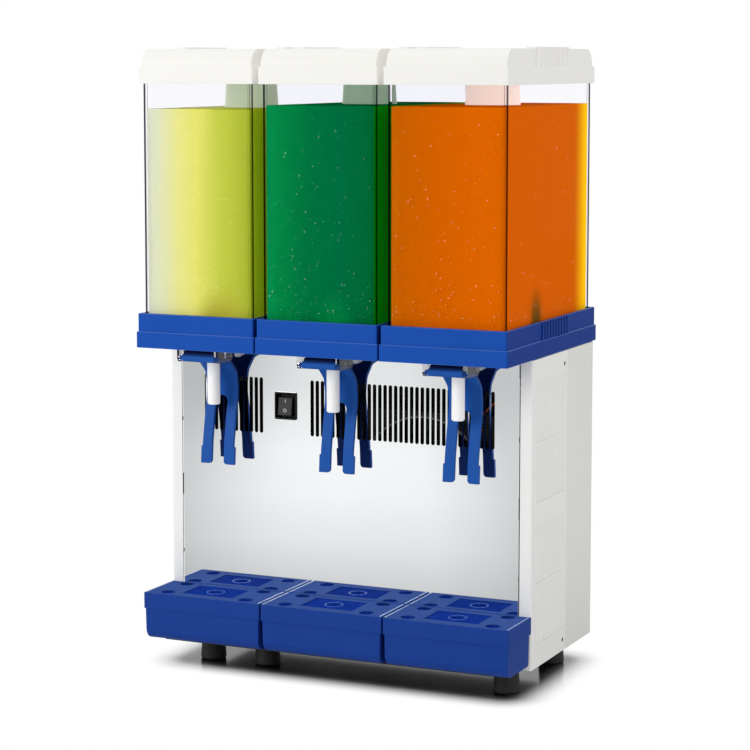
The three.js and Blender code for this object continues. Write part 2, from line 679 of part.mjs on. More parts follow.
// Tank: a clear box open at the top. Its floor has a round opening for the cooling tower, the tap's
// bore and, below that, a clear boss and the two ears that hold the lever.
const gasketWall = 5;
const pivotRadius = 2.5;
const outletPlate = 2;
const bossDrop = 8.2;
const earToe = 4.5;
const bossBottom = tankBottom - bossDrop;
const earBottom = hingeZ - earToe;
function tank() {
  const outer = box(span(tankWidth), span(tankDepth), [tankBottom, tankTop]);
  const inner = box(span(tankWidth - 2 * tankWall), span(tankDepth - 2 * tankWall), [tankFloorTop, tankTop + overrun]);
  const plate = box(span(2 * earOuter), [earFrontY, tapY + bossRadius], [tankBottom - outletPlate, tankBottom + overrun]);
  const boss = bar(bossRadius, 'z', [bossBottom, tankBottom + outletPlate], [0, tapY], roundSegments);
  const ears = [-1, 1].map((side) => prism(rectangle([earFrontY, earFrontY + earDepth], [earBottom, tankBottom],
    [earRadius, earRadius, 0, 0], 3), 'x', [side * earInner, side * earOuter].sort((a, b) => a - b)));
  const tower = bar(evaporatorRadius + seatGap + gasketWall + seatGap, 'z',
    [tankBottom - overrun, tankFloorTop + overrun], [0, 0], towerSegments);
  const bore = bar(spoutRadius + runningGap, 'z', [bossBottom - overrun, tankFloorTop + overrun], [0, tapY]);
  const pivots = bar(pivotRadius + runningGap, 'x', span(2 * (earOuter + overrun)), [hingeY, hingeZ]);
  return cut(join(cut(outer, inner), plate, boss, ...ears), tower, bore, pivots);
}

// Lid: a white cap with a straight skirt round the tank's rim, rounded along its front and back edges,
// and a ribbed grip at each side
const lidGripRise = 2;
const lidGripReach = 11;
function lid() {
  const crownWidth = lidWidth - 2 * lidStep;
  const crownDepth = lidDepth - 2 * lidStep;
  const skirt = box(span(lidWidth), span(lidDepth), [lidBottom, lidStepTop]);
  const crown = prism(rectangle(span(crownDepth), [lidStepTop - overrun, lidTop], [0, 0, lidRound, lidRound]),
    'x', span(crownWidth));
  const grips = [-1, 1].map((side) => ribPad(side, crownWidth / 2 - lidGripReach, lidWidth / 2, gripWidth,
    [lidStepTop - overrun, lidTop + lidGripRise], gripRibs, gripGroove));
  const skirtHollow = box(span(lidWidth - 2 * lidWall), span(lidDepth - 2 * lidWall),
    [lidBottom - overrun, lidStepTop - lidWall]);
  const crownRound = lidRound - lidWall;
  const crownHollow = prism(rectangle(span(crownDepth - 2 * lidWall),
    [lidStepTop - lidWall - overrun, lidTop - lidWall], [0, 0, crownRound, crownRound]), 'x',
  span(crownWidth - 2 * lidWall));
  return cut(join(skirt, crown, ...grips), skirtHollow, crownHollow);
}

// Cooling tower: a steel evaporator drum that is open below, its rubber gasket, and the mixing column
const flangeThick = 2.2;
const evaporatorWall = 1.5;
const evaporatorBevel = 3;
const spigotRadius = 4;
const spigotHeight = 14;
const evaporatorTop = deckTop + evaporatorHeight;
function evaporator() {
  const inside = evaporatorRadius - evaporatorWall;
  return turned([
    [inside, deckTop], [flangeRadius, deckTop], [flangeRadius, deckTop + flangeThick],
    [evaporatorRadius, deckTop + flangeThick], [evaporatorRadius, evaporatorTop - evaporatorBevel],
    [evaporatorRadius - evaporatorBevel, evaporatorTop], [spigotRadius, evaporatorTop],
    [spigotRadius, evaporatorTop + spigotHeight], [0, evaporatorTop + spigotHeight],
    [0, evaporatorTop - evaporatorWall], [inside, evaporatorTop - evaporatorBevel - evaporatorWall],
    [inside, deckTop],
  ], [0, 0], towerSegments);
}
function gasket() {
  const inner = evaporatorRadius + seatGap;
  const outer = inner + gasketWall;
  const z0 = deckTop + flangeThick + seatGap;
  const z1 = tankFloorTop + 2 * seatGap;
  return turned([[inner, z0], [outer, z0], [outer, z1], [inner, z1], [inner, z0]], [0, 0], towerSegments);
}
const columnWindows = 4;
const windowHeight = 12;
const windowWidth = 16;
function mixingColumn() {
  const z0 = evaporatorTop + seatGap;
  const z1 = tankTop - columnDrop;
  const radius = evaporatorRadius - evaporatorBevel;
  const shell = turned([
    [radius - columnWall, z0], [radius, z0], [columnTopRadius, z1], [columnTopRadius - columnWall, z1],
    [radius - columnWall, z0],
  ], [0, 0], towerSegments);
  const windows = Array.from({ length: columnWindows / 2 }, (_, i) => {
    const geometry = new THREE.BoxGeometry(4 * radius, windowWidth, windowHeight);
    geometry.rotateZ((Math.PI * i) / (columnWindows / 2));
    geometry.translate(0, 0, z0 + windowHeight);
    return solid(geometry);
  });
  return cut(shell, ...windows);
}

// Impeller: four blades on a hub that runs on the evaporator's spigot
const impellerHub = 9;
const impellerGap = 7.3;
const impellerRadius = evaporatorRadius - evaporatorBevel - columnWall - impellerGap;
const impellerHeight = 11;
const impellerBlade = 3;
const impellerBase = 2;
function impeller() {
  const z0 = evaporatorTop + seatGap;
  const base = bar(impellerRadius, 'z', [z0, z0 + impellerBase], [0, 0], roundSegments);
  const hub = bar(impellerHub, 'z', [z0, z0 + impellerHeight], [0, 0]);
  const blades = [box(span(1.8 * impellerRadius), span(impellerBlade), [z0, z0 + impellerHeight - impellerBase]),
    box(span(impellerBlade), span(1.8 * impellerRadius), [z0, z0 + impellerHeight - impellerBase])];
  const bore = bar(spigotRadius + runningGap / 3, 'z', [z0 - overrun, z0 + impellerHeight + overrun], [0, 0],
    towerSegments);
  return cut(join(base, hub, ...blades), bore);
}

// Stirrer motor: hangs under the deck, with its magnet head up inside the evaporator
const stirrerRadius = 30;
const magnetRadius = 20;
const magnetHeight = 10;
const magnetGap = 4;
function stirrerMotor() {
  const headTop = evaporatorTop - evaporatorWall - evaporatorBevel - magnetGap;
  const neck = magnetRadius / 2;
  return turned([
    [0, deckBottom - stirrerDrop], [stirrerRadius, deckBottom - stirrerDrop], [stirrerRadius, deckBottom],
    [motorNeckRadius, deckBottom],
    [motorNeckRadius, deckTop - overrun], [neck, deckTop - overrun], [neck, headTop - magnetHeight],
    [magnetRadius, headTop - magnetHeight], [magnetRadius, headTop], [0, headTop],
  ], [0, 0]);
}

// Tap lever: one blue moulding. A bar between the ears carries an arm that goes back under the spout's
// flange; the arm bends down behind the spout and forks into two legs that a cup pushes back.
const barRadius = 4.25;
const barHalf = 20.5;
const pivotReach = 3.5;
const leverWidth = 39;
const paddleWidth = 42.4;
const forkWidth = 15.7;
const forkTop = 48;
const paddleTop = 106;
const paddleRound = 4;
const tubeSlip = 1.4;
const camWidth = 3;
const camSetback = 1;
const leverFaceShares = [[0, 0.034], [0.693, 0.083], [0.91, 0.13], [0.982, 0.175], [1, 0.27], [0.965, 0.397],
  [0.912, 0.532], [0.86, 0.651], [0.789, 0.794], [0.737, 1]];
const leverFace = leverFaceShares.map(([reach, drop]) => [reach * leverReach, -drop * leverDrop]);
const armSlope = (leverFace[1][1] - leverFace[0][1]) / (leverFace[1][0] - leverFace[0][0]);
const armTop = (y) => leverFace[0][1] + leverThickness * Math.hypot(1, armSlope) + armSlope * y;
const spoutFlangeReach = 4.55;
const spoutFlangeRadius = spoutRadius + spoutFlangeReach;
const spoutFlange = 2.6;
const flangeFromHinge = armTop(spoutFromHinge - spoutFlangeRadius) + runningGap;
function tapLever() {
  const side = prism(strip(leverFace, leverThickness), 'x', span(paddleWidth));
  const fork = forkWidth / 2;
  const mouth = rectangle(span(forkWidth), [-leverDrop - overrun, -forkTop], [0, 0, fork, fork], 4);
  const front = join(
    box(span(leverWidth), [-leverReach, 2 * leverReach], [-leverDrop, 2 * barRadius]),
    box(span(paddleWidth), [-leverReach, 2 * leverReach], [-leverDrop, -paddleTop]),
  );
  const inner = fork + paddleRound;
  const toes = [-1, 1].map((s) => cut(
    box([s * fork, s * inner].sort((a, b) => a - b), [-leverReach, 2 * leverReach],
      [-leverDrop - overrun, -leverDrop + paddleRound]),
    bar(paddleRound, 'y', [-leverReach, 2 * leverReach], [s * inner, -leverDrop + paddleRound]),
  ));
  const legs = cut(side.intersect(front), prism(mouth, 'y', [-leverReach, 2 * leverReach]), ...toes);
  const hole = bar(spoutRadius + tubeSlip, 'z', [-leverReach, leverReach / 2], [0, spoutFromHinge]);
  const camX = spoutRadius + tubeSlip + camSetback;
  const cams = [-1, 1].map((s) => box([s * camX, s * (camX + camWidth)].sort((a, b) => a - b),
    span(camWidth / 2, spoutFromHinge), [armTop(spoutFromHinge) - leverThickness / 2, flangeFromHinge - runningGap]));
  const hinge = bar(barRadius, 'x', span(2 * barHalf), [0, 0]);
  const pins = bar(pivotRadius, 'x', span(2 * (barHalf + pivotReach)), [0, 0]);
  return join(cut(legs, hole), ...cams, hinge, pins);
}

// Tap piston: the white spout tube. Its plug closes the tank's floor, the ports under the plug lead into
// the tube, and the lever lifts it by the flange against a spring.
const spoutBore = 4.6;
const spoutEdge = 1.2;
const plugReach = 3.75;
const plugRadius = spoutRadius + plugReach;
const plugHeight = 4;
const portWidth = 6;
const portHeight = 3.2;
const spoutBottom = hingeZ - spoutDrop;
const flangeBottom = hingeZ + flangeFromHinge;
const flangeTop = flangeBottom + spoutFlange;
function tapPiston() {
  const plugBottom = tankFloorTop + seatGap;
  const body = turned([
    [spoutBore, spoutBottom], [spoutRadius - spoutEdge, spoutBottom], [spoutRadius, spoutBottom + spoutEdge],
    [spoutRadius, flangeBottom], [spoutFlangeRadius, flangeBottom], [spoutFlangeRadius, flangeTop],
    [spoutRadius, flangeTop], [spoutRadius, plugBottom], [plugRadius, plugBottom],
    [plugRadius - spoutEdge, plugBottom + plugHeight], [0, plugBottom + plugHeight], [0, plugBottom - seatGap],
    [spoutBore, plugBottom - seatGap], [spoutBore, spoutBottom],
  ], [0, tapY]);
  const portTop = plugBottom - seatGap;
  const port = box(span(4 * spoutRadius), span(portWidth, tapY), [portTop - portHeight, portTop]);
  return cut(body, port);
}

// Tap spring: an open coil between the piston's flange and the boss
const springWire = 0.7;
const springReach = 2.35;
const springRadius = spoutRadius + springReach;
const springTurns = 3.5;
const springSteps = 6;
const springSides = 4;
const springBottom = flangeTop + seatGap;
const springTop = bossBottom - seatGap;
function tapSpring() {
  const centre = (t) => {
    const angle = 2 * Math.PI * springTurns * t;
    return new THREE.Vector3(springRadius * Math.cos(angle), tapY + springRadius * Math.sin(angle),
      springBottom + springWire + t * (springTop - springBottom - 2 * springWire));
  };
  const rings = Math.round(springTurns * springSteps);
  const corners = [];
  for (let i = 0; i <= rings; i += 1) {
    const t = i / rings;
    const middle = centre(t);
    const out = new THREE.Vector3(middle.x, middle.y - tapY, 0).normalize();
    for (let j = 0; j < springSides; j += 1) {
      const angle = (2 * Math.PI * j) / springSides;
      corners.push(middle.clone().addScaledVector(out, springWire * Math.cos(angle))
        .add(new THREE.Vector3(0, 0, springWire * Math.sin(angle))));
    }
  }
  corners.push(centre(0), centre(1));
  const index = [];
  const at = (ring, j) => ring * springSides + (j % springSides);
  for (let j = 0; j < springSides; j += 1) {
    for (let i = 0; i < rings; i += 1) {
      index.push(at(i, j), at(i + 1, j), at(i + 1, j + 1), at(i, j), at(i + 1, j + 1), at(i, j + 1));
    }
    index.push(corners.length - 2, at(0, j), at(0, j + 1), corners.length - 1, at(rings, j + 1), at(rings, j));
  }
  const geometry = new THREE.BufferGeometry();
  geometry.setAttribute('position', new THREE.Float32BufferAttribute(corners.flatMap((p) => p.toArray()), 3));
  geometry.setIndex(index);
  return solid(geometry);
}

// Drip tray: a blue basin that stands on the base plate's ledge; its drip grid is a cap over it
const trayFrontY = mirrorY - seatGap - trayDepth;
const trayBackY = mirrorY - seatGap;
const trayInset = 0.4;
const trayDraft = 1.6;
const trayRound = 12;
const gridWall = 2;
const gridPlate = 2.2;
const gridRim = 0.8;
const gridRimInset = 3;
const gridRimWidth = 1.4;
const gridHole = 8.25;
const recessWidth = 64;
const recessDepth = 42.4;
const recessDrop = 1.2;
const cornerHoleX = 50;
const cornerHoleInset = 1.2;
const gridWidth = modulePitch - trayGap;
const gridTop = trayTop - gridRim;
const recessShift = 2.5;
const recessY = (trayFrontY + trayBackY) / 2 + recessShift;
function dripTray() {
  const wallX = gridWidth / 2 - gridWall - trayInset;
  const frontY = trayFrontY + gridWall + trayInset;
  const backY = trayBackY - gridWall - trayInset;
  const rimZ = gridTop - gridPlate - seatGap;
  const basin = (shrink, floorZ, topZ, radius) => {
    const across = [[shrink + trayDraft - wallX, floorZ], [wallX - trayDraft - shrink, floorZ],
      [wallX - shrink, topZ], [shrink - wallX, topZ]];
    const along = rectangle([frontY + shrink, backY - shrink], [floorZ, topZ], [radius, 0, 0, 0], 5);
    return prism(across, 'y', [frontY, backY]).intersect(prism(along, 'x', span(2 * wallX)));
  };
  return cut(basin(0, trayBottom, rimZ, trayRound),
    basin(trayWall, trayBottom + trayWall, rimZ + overrun, trayRound - trayWall));
}
function dripGrid() {
  const depth = [trayFrontY, trayBackY];
  const cap = box(span(gridWidth), depth, [trayTop - gridBand, gridTop]);
  const hollow = box(span(gridWidth - 2 * gridWall), [trayFrontY + gridWall, trayBackY - gridWall],
    [trayTop - gridBand - overrun, gridTop - gridPlate]);
  const rimOuter = box(span(gridWidth - 2 * gridRimInset), [trayFrontY + gridRimInset, trayBackY - gridRimInset],
    [gridTop - overrun, trayTop]);
  const inset = gridRimInset + gridRimWidth;
  const rimInner = box(span(gridWidth - 2 * inset), [trayFrontY + inset, trayBackY - inset],
    [gridTop, trayTop + overrun]);
  const recess = box(span(recessWidth), span(recessDepth, recessY), [gridTop - recessDrop, trayTop + overrun]);
  const holeY = recessDepth / 2 + cornerHoleInset;
  const holes = [[0, 0], [-1, -1], [1, -1], [-1, 1], [1, 1]].map(([i, j]) => bar(gridHole, 'z',
    [trayTop - gridBand, trayTop + overrun], [i * cornerHoleX, recessY + j * holeY]));
  return cut(join(cap, cut(rimOuter, rimInner)), hollow, recess, ...holes);
}

// One set of pieces for each module, from left to right
const modulePieces = [
  ['lid', lid(), whiteMoulding],
  ['tank', tank(), clearMoulding],
  ['collar', collar(), blueMoulding],
  ['evaporator', evaporator(), plainSteel],
  ['tank_gasket', gasket(), blackRubber],
  ['mixing_column', mixingColumn(), milkyMoulding],
  ['impeller', impeller(), whiteMoulding],
  ['stirrer_motor', stirrerMotor(), blackPaint],
  ['tap_piston', tapPiston(), whiteMoulding],
  ['tap_spring', tapSpring(), plainSteel],
  ['drip_tray', dripTray(), blueMoulding],
  ['drip_grid', dripGrid(), blueMoulding],
];
const lever = tapLever();
moduleCentres.forEach((x, i) => {
  const module = new THREE.Group();
  module.position.x = x;
  for (const [name, body, material] of modulePieces) piece(`${name}_${i + 1}`, body, material(), module);
  piece(`tap_lever_${i + 1}`, lever, blueMoulding(), module).position.set(0, hingeY, hingeZ);
  dispenser.add(module);
});

export default dispenser;
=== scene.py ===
import math
import random

import bmesh
import bpy
from mathutils import Matrix, Vector


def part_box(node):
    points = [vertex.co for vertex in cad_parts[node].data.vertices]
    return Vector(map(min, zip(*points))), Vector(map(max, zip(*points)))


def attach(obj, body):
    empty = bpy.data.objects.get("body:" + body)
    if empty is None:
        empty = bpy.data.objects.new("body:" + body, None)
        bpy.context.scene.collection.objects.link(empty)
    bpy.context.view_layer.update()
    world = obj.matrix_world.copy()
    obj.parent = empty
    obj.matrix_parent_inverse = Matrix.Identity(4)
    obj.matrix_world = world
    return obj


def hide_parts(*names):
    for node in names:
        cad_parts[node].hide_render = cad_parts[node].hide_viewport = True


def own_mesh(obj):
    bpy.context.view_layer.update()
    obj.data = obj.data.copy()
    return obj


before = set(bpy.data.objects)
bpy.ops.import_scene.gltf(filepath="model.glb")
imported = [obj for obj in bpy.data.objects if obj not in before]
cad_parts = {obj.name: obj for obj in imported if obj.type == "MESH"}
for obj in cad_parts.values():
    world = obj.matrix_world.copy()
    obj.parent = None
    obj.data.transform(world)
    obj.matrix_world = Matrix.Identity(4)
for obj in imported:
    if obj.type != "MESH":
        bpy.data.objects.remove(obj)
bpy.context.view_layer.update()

scene = bpy.context.scene


# Studio. A pale counter that fades into a white surround, with a painted shadow in its colour under the
# machine. A large soft box at the front left, a smaller one at the right and a soft overhead panel. What
# polished steel reflects of the counter is a painted glow, darker near the machine, with a painted pool
# of light across it. The camera stands to the right of the machine, at the height of its lids.
counter_half = 6.0
footprint_middle, footprint_half = (-0.008, 0.036, 0.0), (0.194, 0.086, 1.0)
painted_shadow_tones = ((0.0, 26), (0.12, 52), (0.30, 120), (0.60, 226), (1.0, 250))
painted_shadow_reach = 0.05
fade = (0.014, 0.062)
reflection_fade = (0.02, 0.16)
painted_reflection_tones = ((0.0, 120), (0.16, 208), (0.30, 238), (0.45, 252), (0.62, 255), (0.80, 246), (1.0, 236))
reflected_reach = 2.4
pool_across, pool_half = (0.9095, -0.4158, 0), 0.30
painted_pool_tones = ((0.0, 206), (0.09, 214), (0.16, 226), (0.235, 237), (0.31, 247), (0.38, 252), (0.5, 255),
              (0.74, 251), (0.89, 233), (0.94, 224), (1.0, 217))
surround_level = 0.5
camera_down, camera_turn = 6.199, 24.430


def srgb(red, green, blue):
    """A colour as it looks on a screen, 0 to 255, as the shader's own numbers."""
    linear = [v / 12.92 if v <= 0.04045 else ((v + 0.055) / 1.055) ** 2.4
              for v in (red / 255, green / 255, blue / 255)]
    return (*linear, 1.0)


def show(body, name):
    """Turns a finished bmesh into an object of the scene."""
    mesh = bpy.data.meshes.new(name)
    body.to_mesh(mesh)
    body.free()
    shown = bpy.data.objects.new(name, mesh)
    scene.collection.objects.link(shown)
    return shown


def new_surface(name):
    """A fresh material, with its nodes, its links and its shader."""
    surface = bpy.data.materials.new(name)
    surface.use_nodes = True
    tree = surface.node_tree
    return surface, tree.nodes, tree.links, tree.nodes["Principled BSDF"]


def worked_out(nodes, links, operation, *values):
    """A sum on up to three values, each a socket or a plain number."""
    sum_node = nodes.new("ShaderNodeMath")
    sum_node.operation = operation
    for socket, value in zip(sum_node.inputs, values):
        if isinstance(value, float):
            socket.default_value = value
        else:
            links.new(value, socket)
    return sum_node.outputs[0]


def measured(nodes, links, operation, place, along=None):
    """How far a place is from the middle, or how far it lies along a direction."""
    measure = nodes.new("ShaderNodeVectorMath")
    measure.operation = operation
    links.new(place, measure.inputs[0])
    if along is not None:
        measure.inputs[1].default_value = along
    return measure.outputs["Value"]


def seen_rays(nodes, links, kinds=("Is Camera Ray", "Is Glossy Ray", "Is Transmission Ray")):
    """1 for the rays that should meet the white surround: the camera's, a mirror's and a glass's."""
    path = nodes.new("ShaderNodeLightPath")
    seen = path.outputs[kinds[0]]
    for kind in kinds[1:]:
        seen = worked_out(nodes, links, "MAXIMUM", seen, path.outputs[kind])
    return seen


def grey_ramp(nodes, links, value, tones):
    """A ramp of greys, given as (position, 0 to 255)."""
    ramp = nodes.new("ShaderNodeValToRGB")
    for i, (position, grey) in enumerate(tones):
        stop = ramp.color_ramp.elements[i] if i < 2 else ramp.color_ramp.elements.new(position)
        stop.position, stop.color = position, srgb(grey, grey, grey)
    links.new(value, ramp.inputs["Fac"])
    return ramp.outputs["Color"]


def scaled(nodes, links, value, low, high, interpolation="LINEAR"):
    """A length brought to 0 at low and 1 at high."""
    share = nodes.new("ShaderNodeMapRange")
    share.interpolation_type = interpolation
    share.inputs["From Min"].default_value, share.inputs["From Max"].default_value = low, high
    links.new(value, share.inputs["Value"])
    return share.outputs["Result"]


counter_bm = bmesh.new()
bmesh.ops.create_grid(counter_bm, x_segments=1, y_segments=1, size=counter_half)
counter = show(counter_bm, "counter")
counter_paint, nodes, links, lacquer = new_surface("counter_paint")
lacquer.inputs["Roughness"].default_value = 0.12
lacquer.inputs["Specular IOR Level"].default_value = 0.4
place = nodes.new("ShaderNodeTexCoord")
spot = place.outputs["Object"]
for operation, value in (("SUBTRACT", footprint_middle), ("ABSOLUTE", None), ("SUBTRACT", footprint_half),
                         ("MAXIMUM", (0, 0, 0))):
    step = nodes.new("ShaderNodeVectorMath")
    step.operation = operation
    links.new(spot, step.inputs[0])
    if value is not None:
        step.inputs[1].default_value = value
    spot = step.outputs["Vector"]
from_machine = measured(nodes, links, "LENGTH", spot)
# The counter's colour carries a painted shadow: dark under the machine, fading out close round it.
links.new(grey_ramp(nodes, links, scaled(nodes, links, from_machine, 0, painted_shadow_reach), painted_shadow_tones),
          lacquer.inputs["Base Color"])
white_glow = nodes.new("ShaderNodeEmission")
# What mirrors see of the counter is a painted reflection: a glow, darker near the machine, with a painted
# pool of light across it.
painted_reflection_glow = nodes.new("ShaderNodeEmission")
links.new(grey_ramp(nodes, links, scaled(nodes, links, from_machine, 0, reflected_reach), painted_reflection_tones),
          painted_reflection_glow.inputs["Color"])
in_pool = measured(nodes, links, "DOT_PRODUCT", place.outputs["Object"], pool_across)
links.new(grey_ramp(nodes, links, scaled(nodes, links, in_pool, -pool_half, pool_half), painted_pool_tones),
          painted_reflection_glow.inputs["Strength"])
surface = lacquer.outputs[0]
for glow, (start, end), kinds in ((painted_reflection_glow, reflection_fade, ("Is Glossy Ray",)),
                                  (white_glow, fade, ("Is Camera Ray", "Is Transmission Ray"))):
    faded = scaled(nodes, links, from_machine, start, end, "SMOOTHSTEP")
    share = worked_out(nodes, links, "MULTIPLY", faded, seen_rays(nodes, links, kinds))
    blend = nodes.new("ShaderNodeMixShader")
    links.new(share, blend.inputs[0])
    links.new(surface, blend.inputs[1])
    links.new(glow.outputs[0], blend.inputs[2])
    surface = blend.outputs[0]
links.new(surface, nodes["Material Output"].inputs["Surface"])
counter.data.materials.append(counter_paint)

world = bpy.data.worlds.new("white_surround")
scene.world = world
world.use_nodes = True
nodes, links = world.node_tree.nodes, world.node_tree.links
surround = nodes["Background"]
surround.inputs["Color"].default_value = (1, 1, 1, 1)
light_level = nodes.new("ShaderNodeMapRange")
light_level.inputs["To Min"].default_value = surround_level
light_level.inputs["To Max"].default_value = 1.0
links.new(seen_rays(nodes, links), light_level.inputs["Value"])
links.new(light_level.outputs["Result"], surround.inputs["Strength"])


def soft_box(name, place, aim, width, height, power):
    """A lamp with a large even face, aimed at a point."""
    lamp = bpy.data.lights.new(name, "AREA")
    lamp.shape = "RECTANGLE"
    lamp.size, lamp.size_y, lamp.energy = width, height, power
    stand = bpy.data.objects.new(name, lamp)
    stand.location = place
    stand.rotation_euler = (Vector(aim) - Vector(place)).to_track_quat("-Z", "Y").to_euler()
    scene.collection.objects.link(stand)


soft_box("key_box", place=(-1.7, -2.4, 1.15), aim=(0, 0, 0.36), width=1.4, height=1.8, power=38)
soft_box("side_box", place=(2.6, -0.6, 1.2), aim=(0, 0, 0.4), width=1.0, height=1.6, power=11)
soft_box("top_panel", place=(0, -0.2, 2.4), aim=(0, 0, 0.3), width=1.8, height=1.8, power=12)

camera = bpy.data.objects.new("camera", bpy.data.cameras.new("camera"))
camera.data.lens = 113.09
camera.data.sensor_width = 36.0
camera.data.shift_y = -0.08
camera.location = (1.11305, -2.43451, 0.70162)
camera.rotation_euler = (math.radians(90 - camera_down), 0, math.radians(camera_turn))
scene.collection.objects.link(camera)
scene.camera = camera
scene.view_settings.view_transform = "Standard"


# Feet: five turned rubber feet, wider at the floor, with a chamfered toe and a groove under the cabinet.
# They are screwed up into the base plate; the fifth stands under the compressor's corner.
foot_names = ("foot_front_left", "foot_front_right", "foot_rear_left", "foot_rear_right", "foot_front_inner")
foot_outline = ((0, 0.0008), (0.0085, 0.0008), (0.0092, 0), (0.0128, 0), (0.0146, 0.0012), (0.015, 0.0032),
                (0.0132, 0.0285), (0.0124, 0.0294), (0.0124, 0.0310), (0.013, 0.0318), (0.013, 0.034),
                (0, 0.034))
usual_noise, gloss_drift, grain_strength = (0.3, 0.7), 0.15, 0.35
same_place = 0.000002


def ranged(nodes, links, value, low_high, new_low_high):
    """A value brought from one range to another."""
    change = nodes.new("ShaderNodeMapRange")
    change.inputs["From Min"].default_value, change.inputs["From Max"].default_value = low_high
    change.inputs["To Min"].default_value, change.inputs["To Max"].default_value = new_low_high
    links.new(value, change.inputs["Value"])
    return change.outputs["Result"]


def finish(name, colour, roughness, shade=0.96, blotch=22.0, grain=900.0, relief=0.00001, metallic=0.0,
           ior=1.45):
    """A moulded, painted or plated surface: its colour and gloss drift a little over the piece, and a
    fine grain lies on it. The pattern is fixed to the object, and a low ior makes it mirror less."""
    surface, nodes, links, shader = new_surface(name)
    shader.inputs["Metallic"].default_value = metallic
    shader.inputs["IOR"].default_value = ior
    place = nodes.new("ShaderNodeTexCoord")
    drift = nodes.new("ShaderNodeTexNoise")
    drift.inputs["Scale"].default_value = blotch
    drift.inputs["Detail"].default_value = 3.0
    links.new(place.outputs["Object"], drift.inputs["Vector"])
    tones = nodes.new("ShaderNodeValToRGB")
    deeper = tuple(v * shade for v in colour[:3]) + (1.0,)
    for stop, position, tone in zip(tones.color_ramp.elements, usual_noise, (deeper, colour)):
        stop.position, stop.color = position, tone
    links.new(drift.outputs["Fac"], tones.inputs["Fac"])
    links.new(tones.outputs["Color"], shader.inputs["Base Color"])
    gloss = ranged(nodes, links, drift.outputs["Fac"], usual_noise,
                   (roughness * (1 - gloss_drift), roughness * (1 + gloss_drift)))
    links.new(gloss, shader.inputs["Roughness"])
    fine = nodes.new("ShaderNodeTexNoise")
    fine.inputs["Scale"].default_value = grain
    fine.inputs["Detail"].default_value = 2.0
    links.new(place.outputs["Object"], fine.inputs["Vector"])
    bump = nodes.new("ShaderNodeBump")
    bump.inputs["Strength"].default_value = grain_strength
    bump.inputs["Distance"].default_value = relief
    links.new(fine.outputs["Fac"], bump.inputs["Height"])
    links.new(bump.outputs["Normal"], shader.inputs["Normal"])
    return surface


def turned(outline, middle=(0, 0), steps=48):
    """A profile of (radius, height) points turned about the upright line through middle."""
    body = bmesh.new()
    points = [body.verts.new((radius, 0, height)) for radius, height in outline]
    edges = [body.edges.new(pair) for pair in zip(points, points[1:])]
    bmesh.ops.spin(body, geom=points + edges, cent=(0, 0, 0), axis=(0, 0, 1), angle=math.tau, steps=steps,
                   use_merge=True)
    bmesh.ops.remove_doubles(body, verts=body.verts, dist=same_place)
    bmesh.ops.recalc_face_normals(body, faces=body.faces)
    bmesh.ops.translate(body, verts=body.verts, vec=(*middle, 0))
    return body


def soften(piece, width=0.0, segments=2, angle=34, edge_surface=-1):
    """Rounds the sharp edges of a piece and shades it smoothly, with its flat faces kept flat. The
    rounded edges may take a surface of their own, by its number among the piece's materials."""
    for face in piece.data.polygons:
        face.use_smooth = True
    if width:
        rounding = piece.modifiers.new("rounding", "BEVEL")
        rounding.width = width
        rounding.segments = segments
        rounding.limit_method = "ANGLE"
        rounding.angle_limit = math.radians(angle)
        rounding.miter_outer = "MITER_ARC"
        rounding.material = edge_surface
    flats = piece.modifiers.new("flats", "WEIGHTED_NORMAL")
    flats.keep_sharp = True
    return piece


def fit(piece, materials, slot, body, *nodes):
    """Gives a finished piece its surfaces, the body that it moves with and the solids that it stands for."""
    choices = [face.material_index for face in piece.data.polygons]
    piece.data.materials.clear()
    for material in materials if isinstance(materials, tuple) else (materials,):
        piece.data.materials.append(material)
    if isinstance(materials, tuple):
        piece.data.polygons.foreach_set("material_index", choices)
    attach(piece, body)
    if nodes:
        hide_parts(*nodes)
    return piece


def keep_solid(node, material):
    """A solid whose shape is right stays, and only gets its surface."""
    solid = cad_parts[node]
    solid.data.materials.clear()
    solid.data.materials.append(material)


foot_rubber = finish("foot_rubber", srgb(30, 30, 31), 0.62, shade=0.7, grain=2600, relief=0.00008)
for foot_name in foot_names:
    low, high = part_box(foot_name)
    foot = show(turned(foot_outline, ((low.x + high.x) / 2, (low.y + high.y) / 2)), foot_name + "_rubber")
    soften(foot)
    fit(foot, foot_rubber, "black_rubber", "cabinet", foot_name)


# Base plate: a black painted steel pan under the cooling unit, with a riser and a shelf in front that the
# drip trays stand on. It is folded from sheet, and the cabinet's shells close over it.
black_paint = finish("black_paint", srgb(22, 23, 24), 0.42, shade=0.8, grain=900, relief=0.00006)
keep_solid("base_plate", black_paint)


# Side panels: folded sheet steel, painted white. Each one turns round the front corner to the mirror, and
# has four blocks of louvres pressed inwards, eight upright blades to a block. A ledge inside carries the
# deck. Screws with dark heads hold each panel near the joint with the rear cover.
sheet = 0.0012
panel_low, panel_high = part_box("right_side_panel")
panel_x, panel_front, joint_y = panel_high.x, panel_low.y, panel_high.y
flange_x, panel_round = 0.2095, 0.003
louvre_blocks = ((0.0601, 0.1239), (0.1281, 0.1929), (0.218, 0.2808), (0.285, 0.3519))
louvre_count, louvre_front, louvre_pitch, louvre_width, louvre_depth = 8, -0.05, 0.01151, 0.00901, 0.0035
blade_sunk, blade_lap, blade_over = 0.0001, 0.0002, 0.0005
ledge_x, ledge_front, ledge_z = (0.206, 0.2234), -0.0605, (0.3708, 0.372)
screw_y, screw_heights, screw_head = 0.0365, {"high": 0.363, "low": 0.047}, 0.0026
screw_outline = ((0, 0.00028), (0.0010, 0.00028), (0.0014, 0.00012), (0.0022, 0.00012),
                 (screw_head, -0.0002), (screw_head, -0.0012), (0, -0.0012))
sheet_edge, cut_past = 0.0002, 0.001
least_shaded_area = 0.00015
cabinet_middle = Vector((0, 0.036, 0.2))


def span(middle, half):
    """The two ends of a length about its middle."""
    return middle - half, middle + half


